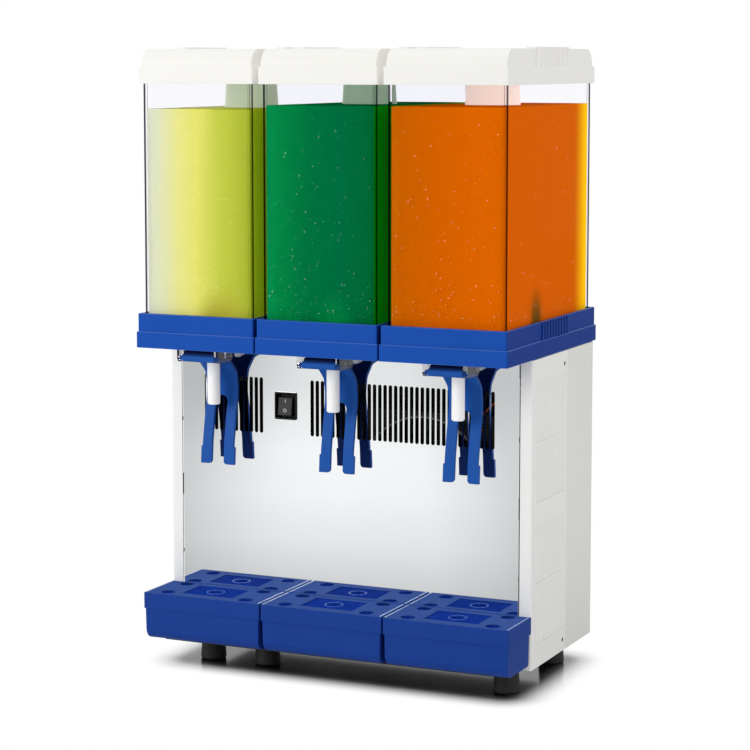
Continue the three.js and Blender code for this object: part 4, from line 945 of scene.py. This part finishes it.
def drink_surface(name, k):
    """A drink's looks: its tones across the front with a slow cloud in them, painted light in other tones
    at its side and its rear corners, a painted glow, and a painted shade where the tower's foot stands."""
    drink, nodes, links, shader = new_surface(name)
    shader.inputs["Roughness"].default_value = 0.35
    shader.inputs["Specular IOR Level"].default_value = 0.0
    place = nodes.new("ShaderNodeTexCoord")
    in_tank = nodes.new("ShaderNodeMapping")
    in_tank.inputs["Location"].default_value = (0.5 - module_x(k) / (2 * tank_x), 0, 0)
    in_tank.inputs["Scale"].default_value = (1 / (2 * tank_x), 1, 1)
    links.new(place.outputs["Object"], in_tank.inputs["Vector"])
    stretched = nodes.new("ShaderNodeMapping")
    stretched.inputs["Scale"].default_value = cloud_stretch
    links.new(place.outputs["Object"], stretched.inputs["Vector"])
    cloud = nodes.new("ShaderNodeTexNoise")
    cloud.inputs["Scale"].default_value = cloud_scale
    cloud.inputs["Detail"].default_value = 4.0
    links.new(stretched.outputs["Vector"], cloud.inputs["Vector"])
    along = nodes.new("ShaderNodeSeparateXYZ")
    links.new(in_tank.outputs["Vector"], along.inputs["Vector"])
    stirred = worked_out(nodes, links, "MULTIPLY_ADD", cloud.outputs["Fac"], cloud_share, along.outputs["X"])
    tones = nodes.new("ShaderNodeValToRGB")
    elements = tones.color_ramp.elements
    for i, (position, colour) in enumerate(drink_tones[k]):
        stop = elements[i] if i < 2 else elements.new(position)
        stop.position = min(1.0, position + cloud_shift)
        stop.color = srgb(*colour)
    links.new(stirred, tones.inputs["Fac"])
    facing = nodes.new("ShaderNodeSeparateXYZ")
    links.new(place.outputs["Normal"], facing.inputs["Vector"])
    # Side faces and rear corners take painted light in brighter tones.
    sideways = scaled(nodes, links, worked_out(nodes, links, "ABSOLUTE", facing.outputs["X"]), *side_from)
    front_or_side = blend_colours(nodes, links, sideways, tones.outputs["Color"], srgb(*drink_side_painted_light[k]))
    rear = scaled(nodes, links, along.outputs["Y"], *rear_from, "SMOOTHSTEP")
    from_middle = worked_out(nodes, links, "SUBTRACT", along.outputs["X"], 0.5)
    off_middle = worked_out(nodes, links, "ABSOLUTE", from_middle)
    at_corner = scaled(nodes, links, off_middle, *corner_from, "SMOOTHSTEP")
    painted_corner_light = worked_out(nodes, links, "MULTIPLY", rear, at_corner)
    painted_lit = blend_colours(nodes, links, painted_corner_light, front_or_side, srgb(*drink_rear_painted_light[k]))
    # A painted shade, darker round the tower's foot.
    middle, reach, shade = painted_tower_shades[k]
    spot = nodes.new("ShaderNodeMapping")
    spot.vector_type = "TEXTURE"
    spot.inputs["Location"].default_value = middle
    spot.inputs["Scale"].default_value = reach
    links.new(place.outputs["Object"], spot.inputs["Vector"])
    from_spot = measured(nodes, links, "LENGTH", spot.outputs["Vector"])
    clear_of_spot = scaled(nodes, links, from_spot, *shade_from, "SMOOTHSTEP")
    links.new(blend_colours(nodes, links, clear_of_spot, srgb(*shade), painted_lit), shader.inputs["Base Color"])
    return with_painted_glow(drink, drink_painted_glow)


def tower_space(top):
    """The room that the drum, its ring and the column take up in the drink."""
    radius_at_foot = column_foot_radius + column_room
    radius_at_top = radius_at_foot + column_slope * (top - column_foot)
    return turned(((0, room_foot), (ring_room, room_foot), (ring_room, ring_room_top),
                   (drum_room, ring_room_top), (drum_room, column_foot),
                   (radius_at_foot, column_foot + 0.0005), (radius_at_top, top), (0, top)), steps=64)


drink_x, drink_y = tank_x - tank_wall + drink_reach, tank_y - tank_wall + drink_reach
drink_foot = tank_low + tank_wall + drink_above_floor
for k in modules:
    level = drink_levels[k]
    drink = fused(f"drink_{k}", block(span(0, drink_x), span(0, drink_y), (drink_foot, level)),
                  taken=[tower_space(level + 2 * cut_past), plug(head_room, head_room_z, (0, tap_y), 32)])
    drink.data.transform(Matrix.Translation((module_x(k), 0, 0)))
    soften(drink, 0.0006)
    fit(drink, drink_surface(f"drink_surface_{k}", k), "clear_tank", f"tank_unit_{k}")


# Lids: white caps with a straight skirt round the tank's rim and a crown that is rounded along its front
# and back edges. At each side the crown carries a ribbed grip that stands 2 mm above it.
lid_x, lid_y = 0.0717, 0.13575
lid_low, lid_step_z, lid_high = 0.6744, 0.6936, 0.713
lid_step, lid_wall, lid_round, lid_corner, overlap = 0.0025, 0.002, 0.017, 0.0015, 0.001
grip_half, grip_plain, grip_ribs, grip_relief, rib_share = 0.050, 0.012, 10, 0.0009, 0.62
grip_width, grip_rise, rib_rise, rib_sunk, lap = 0.011, 0.002, 0.0016, 0.0003, 0.0002


def crown(x, y, z, radius):
    """A block with its top front and top back edges rounded."""
    body = block(span(0, x), span(0, y), z)
    top_edges = [edge for edge in edges_along(body, 0) if edge.verts[0].co.z > sum(z) / 2]
    return rounded(body, top_edges, radius, 10)


def grip_ridges(side, x, z):
    """The upright ribs on a grip, side by side behind its plain front end."""
    pitch = (2 * grip_half - grip_plain) / grip_ribs
    first = grip_plain - grip_half
    across = sorted((side * (x - grip_relief - rib_sunk), side * x))
    return [block(across, (first + (i + 1 - rib_share) * pitch, first + (i + 1) * pitch), z)
            for i in range(grip_ribs)]


lid_skirt = block(span(0, lid_x), span(0, lid_y), (lid_low, lid_step_z))
rounded(lid_skirt, edges_along(lid_skirt, 2), lid_corner, 3)
crown_x, crown_y = lid_x - lid_step, lid_y - lid_step
lid_pattern = fused(
    "lid_pattern", lid_skirt,
    added=[crown(crown_x, crown_y, (lid_step_z - overlap, lid_high), lid_round)],
    taken=[block(span(0, lid_x - lid_wall), span(0, lid_y - lid_wall),
                 (lid_low - cut_past, lid_step_z - lid_wall)),
           crown(crown_x - lid_wall, crown_y - lid_wall,
                 (lid_step_z - lid_wall - cut_past, lid_high - lid_wall), lid_round - lid_wall)])
soften(lid_pattern, 0.0005)
lid_grips = []
for side in (-1, 1):
    lid_grips.append(block(sorted((side * (crown_x - grip_width), side * (lid_x - grip_relief))),
                           span(0, grip_half), (lid_step_z - lap, lid_high + grip_rise)))
    lid_grips += grip_ridges(side, lid_x, (lid_step_z - lap, lid_high + rib_rise))
grip_pattern = soften(show(gathered(lid_grips), "lid_grip_pattern"), 0.0003)
in_each_module(lid_pattern, "lid_cap", white_moulding, "white_moulding", "lid", "lid")
in_each_module(grip_pattern, "lid_grips", white_moulding, "white_moulding", "lid")


# Collars: blue mouldings round the tanks' feet. Each has a deeper skirt over the cabinet, a band above
# it, set back a little, and ribbed grips at its sides. The side faces and the grips are a deeper blue,
# a painted shade, and the rounded edges a lighter blue, a painted highlight in a thin pale line.
collar_x, collar_y, band_x, band_y = 0.0743, 0.142, 0.0727, 0.1404
collar_low, collar_step_z, collar_high = 0.378, 0.396, 0.4166
collar_wall, tank_room, tank_room_top = 0.0022, 0.0004, 0.43
deck_top, floor_cut = 0.386, (0.385, 0.3895)
drum_clear, bracket_clear_x, bracket_clear_y = 0.0545, 0.0263, (-0.1348, -0.0832)
ridge_short, skirt_corner, band_corner, side_margin = 0.0004, 0.0018, 0.0016, 0.001
blue_moulding = finish("blue_moulding", srgb(30, 80, 172), 0.33, shade=0.96, blotch=14, ior=1.08)
# The rounded edges take a lighter blue: a painted highlight.
blue_painted_edge_highlight = finish("blue_painted_edge_highlight", srgb(58, 104, 190), 0.3, shade=0.96, ior=1.35)
blue_painted_side_shade = finish("blue_painted_side_shade", srgb(21, 58, 142), 0.33, shade=0.96, blotch=14, ior=1.08)
collar_skirt = block(span(0, collar_x), span(0, collar_y), (collar_low, collar_step_z))
collar_band = block(span(0, band_x), span(0, band_y), (collar_step_z - overlap, collar_high))
collar_pattern = fused(
    "collar_pattern", rounded(collar_skirt, edges_along(collar_skirt, 2), skirt_corner, 4),
    added=[rounded(collar_band, edges_along(collar_band, 2), band_corner, 4)],
    taken=[block(span(0, tank_x + tank_room), span(0, tank_y + tank_room), (tank_low, tank_room_top)),
           block(span(0, collar_x - collar_wall), span(0, collar_y - collar_wall),
                 (collar_low - cut_past, deck_top)),
           plug(drum_clear, floor_cut), block(span(0, bracket_clear_x), bracket_clear_y, floor_cut)])
# The side faces take the painted shade.
for face in collar_pattern.data.polygons:
    if abs(face.normal.x) > 0.9 and abs(face.center.x) > band_x - side_margin:
        face.material_index = 2
soften(collar_pattern, 0.0005, edge_surface=1)
ridges = []
for side in (-1, 1):
    ridges += grip_ridges(side, collar_x - ridge_short, (collar_step_z - lap, collar_high - ridge_short))
ridge_pattern = soften(show(gathered(ridges), "collar_ridge_pattern"), 0.0003)
in_each_module(collar_pattern, "collar_band", (blue_moulding, blue_painted_edge_highlight, blue_painted_side_shade), "blue_moulding",
               "tank_unit", "collar")
in_each_module(ridge_pattern, "collar_ridges", blue_painted_side_shade, "blue_moulding", "tank_unit")


# Tap levers: blue mouldings on pins between the tank's ears. A thick bar and a shoulder behind it carry
# an arm under the spout's flange, which bends down behind the spout and forks into two legs.
lever_face = ((0, 0.0043), (0.036, 0.0086), (0.0505, 0.0215), (0.0538, 0.036), (0.0535, 0.048),
              (0.049, 0.068), (0.046, 0.084), (0.043, 0.100), (0.041, 0.126))
lever_thickness, lever_half, paddle_half, paddle_top = 0.0043, 0.0195, 0.0212, 0.106
fork_half, fork_top, fork_foot, fork_depth = 0.00785, 0.048, 0.128, (0.03, 0.07)
toe_round, toe_from, trim_outside, trim_depth, trim_top = 0.004, 0.1245, 0.03, (-0.01, 0.07), 0.012
spout_clear, spout_clear_z = 0.00865, (hinge_z - 0.02, hinge_z + 0.03)
bar_radius, bar_half, bar_chamfer = 0.00425, 0.0205, 0.0005
pin_radius, pin_half, pin_chamfer = 0.0025, 0.024, 0.0003
shoulder_depth, shoulder_z = (hinge_y - 0.0005, hinge_y + 0.0185), (hinge_z - 0.002, hinge_z + 0.0078)
fold_round, shoulder_round, shaded_back_from = 0.003, 0.0035, 0.02


def rod_across(half, radius, chamfer, steps=32):
    """A round rod with chamfered ends, laid along the hinge line of the lever."""
    rod = turned(((0, -half), (radius - chamfer, -half), (radius, chamfer - half),
                  (radius, half - chamfer), (radius - chamfer, half), (0, half)), steps=steps)
    return laid(rod, math.pi / 2, "Y", (0, hinge_y, hinge_z))


strip = bmesh.new()
line = [strip.verts.new((-paddle_half, hinge_y + reach, hinge_z - drop)) for reach, drop in lever_face]
edges = [strip.edges.new(pair) for pair in zip(line, line[1:])]
swept = bmesh.ops.extrude_edge_only(strip, edges=edges)
bmesh.ops.translate(strip, verts=[v for v in swept["geom"] if isinstance(v, bmesh.types.BMVert)],
                    vec=(2 * paddle_half, 0, 0))
folds = [edge for edge in edges_along(strip, 0) if len(edge.link_faces) == 2]
rounded(strip, folds, fold_round, 3)
bmesh.ops.recalc_face_normals(strip, faces=strip.faces)
if sum(face.normal.y * face.calc_area() for face in strip.faces) > 0:
    bmesh.ops.reverse_faces(strip, faces=strip.faces)
bmesh.ops.solidify(strip, geom=strip.faces[:], thickness=lever_thickness)
bmesh.ops.recalc_face_normals(strip, faces=strip.faces)
fork = block(span(0, fork_half), [hinge_y + end for end in fork_depth],
             (hinge_z - fork_foot, hinge_z - fork_top))
fork_crown = [edge for edge in edges_along(fork, 1) if edge.verts[0].co.z > hinge_z - paddle_top]
rounded(fork, fork_crown, fork_half * 0.98, 8)
trims = [block(sorted((side * lever_half, side * trim_outside)), [hinge_y + end for end in trim_depth],
               (hinge_z - paddle_top, hinge_z + trim_top)) for side in (-1, 1)]
lever_plate = fused("lever_plate", strip,
                    taken=[fork, gathered(trims), plug(spout_clear, spout_clear_z, (0, tap_y), 40)])
lever_bm = bmesh.new()
lever_bm.from_mesh(lever_plate.data)
bpy.data.objects.remove(lever_plate)
toes = [edge for edge in lever_bm.edges
        if all(abs(abs(v.co.x) - fork_half) < 0.0001 and v.co.z < hinge_z - toe_from for v in edge.verts)]
rounded(lever_bm, toes, toe_round, 5)
lever_pattern = soften(show(lever_bm, "lever_pattern"), 0.0005, 2, 40)
bar = rod_across(bar_half, bar_radius, bar_chamfer)
pins = rod_across(pin_half, pin_radius, pin_chamfer, 24)
bar_pattern = soften(show(gathered([bar, pins]), "lever_bar_pattern"))
shoulder = block(span(0, lever_half), shoulder_depth, shoulder_z)
top_front = [edge for edge in edges_along(shoulder, 0)
             if edge.verts[0].co.z > hinge_z and edge.verts[0].co.y < hinge_y]
rounded(shoulder, top_front, shoulder_round)
shoulder_pattern = soften(show(shoulder, "lever_shoulder_pattern"), 0.0006)
# The lever's faces that look back and its shoulder are a darker blue: painted shade.
lever_blue = finish("lever_blue", srgb(32, 86, 168), 0.36, shade=0.96, blotch=14, ior=1.14)
lever_back_painted_shade = finish("lever_back_painted_shade", srgb(17, 40, 98), 0.36, shade=0.96, blotch=14, ior=1.14)
shoulder_painted_shade = finish("shoulder_painted_shade", srgb(14, 28, 78), 0.4, shade=0.9, ior=1.14)
for face in lever_pattern.data.polygons:
    face.material_index = int(face.normal.y > shaded_back_from)
in_each_module(lever_pattern, "tap_lever_plate", (lever_blue, lever_back_painted_shade), "blue_moulding", "lever",
               "tap_lever")
in_each_module(bar_pattern, "tap_lever_bar", lever_blue, "blue_moulding", "lever")
in_each_module(shoulder_pattern, "tap_lever_shoulder", shoulder_painted_shade, "blue_moulding", "lever")


# Tap pistons and springs: a white spout tube with a flange that the lever lifts, and a plug at its head
# that closes the tank's floor. A steel wire spring between the flange and the boss presses it shut.
piston_outline = ((0.0046, 0.312), (0.00605, 0.312), (0.00725, 0.3132), (0.00725, 0.3649),
                  (0.0118, 0.3649), (0.0118, 0.3675), (0.00725, 0.3675), (0.00725, 0.3929),
                  (0.011, 0.3929), (0.0098, 0.3969), (0, 0.3969), (0, 0.3925), (0.0046, 0.3925),
                  (0.0046, 0.312))
port_half, port_reach, port_z = 0.003, 0.02, (0.3893, 0.3925)
spout_painted_glow = 0.1
wire_radius, coil_radius, coil_turns, coil_steps = 0.0007, 0.0096, 3.5, 28
coil_low, coil_high = 0.3686, 0.3795
piston_pattern = fused("piston_pattern", turned(piston_outline, (0, tap_y)),
                       taken=[block(span(0, port_reach), span(tap_y, port_half), port_z)])
soften(piston_pattern, 0.0003)
# The spout's white has a painted glow.
spout_white = with_painted_glow(finish("spout_white", srgb(246, 246, 244), 0.3, shade=0.98, ior=1.3), spout_painted_glow)
in_each_module(piston_pattern, "tap_piston_tube", spout_white, "white_moulding", "piston", "tap_piston")
coil = bmesh.new()
wire_start = Matrix.Translation((coil_radius, 0, coil_low)) @ Matrix.Rotation(math.pi / 2, 4, "X")
bmesh.ops.create_circle(coil, segments=8, radius=wire_radius, matrix=wire_start)
wire_end = coil.verts[:] + coil.edges[:]
wound_steps = round(coil_turns * coil_steps)
bmesh.ops.spin(coil, geom=wire_end, cent=(0, 0, 0), axis=(0, 0, 1), angle=coil_turns * math.tau,
               steps=wound_steps, dvec=(0, 0, (coil_high - coil_low) / wound_steps), use_merge=False)
bmesh.ops.holes_fill(coil, edges=coil.edges[:], sides=8)
bmesh.ops.recalc_face_normals(coil, faces=coil.faces)
bmesh.ops.translate(coil, verts=coil.verts, vec=(0, tap_y, 0))
coil_pattern = soften(show(coil, "coil_pattern"))
for k in modules:
    spring = for_module(coil_pattern, "tap_spring_coil", k)
    fit(spring, drum_steel, "plain_steel", f"tank_unit_{k}", f"tap_spring_{k}")
    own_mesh(spring)
bpy.data.objects.remove(coil_pattern)


# Drip trays: deep blue basins that stand on the shelf in front of the mirror, with a rounded front edge
# at the foot and slightly leaning ends.
tray_low, tray_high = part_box("drip_tray_2")
grid_low, grid_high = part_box("drip_grid_2")
cover_room = 0.0011
tray_half, tray_draft, tray_wall, tray_round = grid_high.x - cover_room, 0.0012, 0.002, 0.012
tray_front, tray_back, rim_z = grid_low.y + cover_room, tray_high.y, tray_high.z
# The tray's inside faces are a brighter blue with a painted glow, painted light seen through the holes.
tray_painted_glow = 0.35
tray_blue = finish("tray_blue", srgb(28, 64, 146), 0.4, shade=0.95, blotch=16, ior=1.14)
tray_inside_painted_glow = with_painted_glow(finish("tray_inside_painted_glow", srgb(20, 64, 176), 0.5, shade=0.93, blotch=16, ior=1.05),
                      tray_painted_glow)


def basin(half, front, back, low, high, radius, draft):
    """A tray's shape without its hollow, with leaning ends and a rounded front edge at the foot."""
    body = block(span(0, half), (front, back), (low, high))
    toe = [edge for edge in edges_along(body, 0)
           if edge.verts[0].co.z < (low + high) / 2 and edge.verts[0].co.y < (front + back) / 2]
    rounded(body, toe, radius, 10)
    for vert in body.verts:
        vert.co.x *= 1 - draft / half * (high - vert.co.z) / (high - low)
    return body


hollow = basin(tray_half - tray_wall, tray_front + tray_wall, tray_back - tray_wall,
               tray_low.z + tray_wall, rim_z + cut_past, tray_round - tray_wall, tray_draft)
tray_pattern = fused("tray_pattern", basin(tray_half, tray_front, tray_back, tray_low.z, rim_z,
                                           tray_round, tray_draft), taken=[hollow])
soften(tray_pattern, 0.0005)
tray_middle = Vector((0, (tray_front + tray_back) / 2, (tray_low.z + rim_z) / 2))
for face in tray_pattern.data.polygons:
    face.material_index = int(face.normal.dot(face.center - tray_middle) < 0)
in_each_module(tray_pattern, "drip_tray_basin", (tray_blue, tray_inside_painted_glow), "blue_moulding", "tray",
               "drip_tray")


# Drip grids: blue covers on the trays. A deep band hangs round the tray's rim, the top has a low rim, a
# sunk place with fine ribs for a cup to stand on, and five holes that let drips through.
grid_wall, grid_plate, grid_rim, rim_inset, rim_width = 0.0007, 0.0022, 0.0008, 0.0016, 0.0012
recess_half, recess_depth, recess_y, recess_sunk = 0.032, 0.0424, -0.09515, 0.0012
hole_radius, corner_hole_x, corner_hole_y = 0.00825, 0.050, 0.0224
recess_ribs, ring_radii, cap_corner = 9, (0.0092, 0.0108), 0.001
plate_top = grid_high.z - grid_rim
grid_half = grid_high.x
recess_front, recess_floor = recess_y - recess_depth / 2, plate_top - recess_sunk
rib_pitch = recess_depth / recess_ribs
rib_ends, rib_height, ring_short, rib_cut_z = (0.3, 0.7), 0.0006, 0.0001, (0.08, 0.1)
# The side rims are a pale blue: a painted highlight.
rim_painted_highlight = finish("rim_painted_highlight", srgb(150, 174, 224), 0.35, shade=0.96, ior=1.35)
# The plate's top and low rims are a lighter, greyer blue than the sides: a painted sheen.
grid_top_painted_sheen = finish("grid_top_painted_sheen", srgb(64, 92, 162), 0.6, shade=0.93, blotch=60, grain=700,
                   relief=0.00006, ior=1.02)
recess_blue = finish("recess_blue", srgb(26, 64, 166), 0.6, shade=0.9, blotch=60, ior=1.02)
# The cup ring is a lighter blue: a painted highlight.
ring_painted_highlight = finish("ring_painted_highlight", srgb(62, 100, 190), 0.5, shade=0.95, ior=1.1)
cap = block(span(0, grid_half), (grid_low.y, grid_high.y), (grid_low.z, plate_top))
rounded(cap, edges_along(cap, 2), cap_corner, 3)
holes = [plug(hole_radius, (grid_low.z - cut_past, grid_high.z + 2 * cut_past), (x, recess_y + y), 48)
         for x, y in ((0, 0), (-corner_hole_x, -corner_hole_y), (corner_hole_x, -corner_hole_y),
                      (-corner_hole_x, corner_hole_y), (corner_hole_x, corner_hole_y))]
grid_pattern = fused(
    "grid_pattern", cap,
    taken=[block(span(0, grid_half - grid_wall), (grid_low.y + grid_wall, grid_high.y - grid_wall),
                 (grid_low.z - cut_past, plate_top - grid_plate)),
           block(span(0, recess_half), span(recess_y, recess_depth / 2),
                 (recess_floor, plate_top + cut_past)), gathered(holes)])
soften(grid_pattern, 0.0003, edge_surface=2)
grid_bm = bmesh.new()
grid_bm.from_mesh(grid_pattern.data)
for face in grid_bm.faces:
    face.material_index = 0
    height = face.calc_center_median().z
    if face.normal.z > 0.9 and height > plate_top - 2 * recess_sunk:
        face.material_index = 1 if height > plate_top - recess_sunk / 2 else 3
grid_bm.to_mesh(grid_pattern.data)
grid_bm.free()
rim_x, rim_front, rim_back = grid_half - rim_inset, grid_low.y + rim_inset, grid_high.y - rim_inset
rims = [block(sorted((side * rim_x, side * (rim_x - rim_width))), (rim_front, rim_back),
              (plate_top - lap, grid_high.z)) for side in (-1, 1)]
low_rims = [block(span(0, rim_x), sorted((y, y + way * rim_width)),
                  (plate_top - lap, plate_top + grid_rim / 2))
            for y, way in ((rim_front, 1), (rim_back, -1))]
rim_pattern = soften(show(gathered(rims), "grid_rim_pattern"), 0.0003)
low_rim_pattern = soften(show(gathered(low_rims), "grid_low_rim_pattern"), 0.0002)
ribs = [block(span(0, recess_half), [recess_front + (i + end) * rib_pitch for end in rib_ends],
              (recess_floor - lap, recess_floor + rib_height)) for i in range(recess_ribs)]
rib_pattern = fused("grid_rib_pattern", gathered(ribs),
                    taken=[plug(ring_radii[0], rib_cut_z, (0, recess_y), 48)])
soften(rib_pattern, 0.0002, 1)
cup_ring = turned(((ring_radii[0], recess_floor - lap), (ring_radii[1], recess_floor - lap),
                   (ring_radii[1], plate_top - ring_short), (ring_radii[0], plate_top - ring_short),
                   (ring_radii[0], recess_floor - lap)), (0, recess_y))
ring_pattern = soften(show(cup_ring, "grid_ring_pattern"), 0.0002, 1)
in_each_module(grid_pattern, "drip_grid_cover", (tray_blue, grid_top_painted_sheen, blue_painted_edge_highlight, recess_blue),
               "blue_moulding", "grid", "drip_grid")
for pattern, name, blue in ((rim_pattern, "drip_grid_rim", rim_painted_highlight),
                            (low_rim_pattern, "drip_grid_low_rim", grid_top_painted_sheen),
                            (rib_pattern, "drip_grid_ribs", recess_blue),
                            (ring_pattern, "drip_grid_ring", ring_painted_highlight)):
    in_each_module(pattern, name, blue, "blue_moulding", "grid")
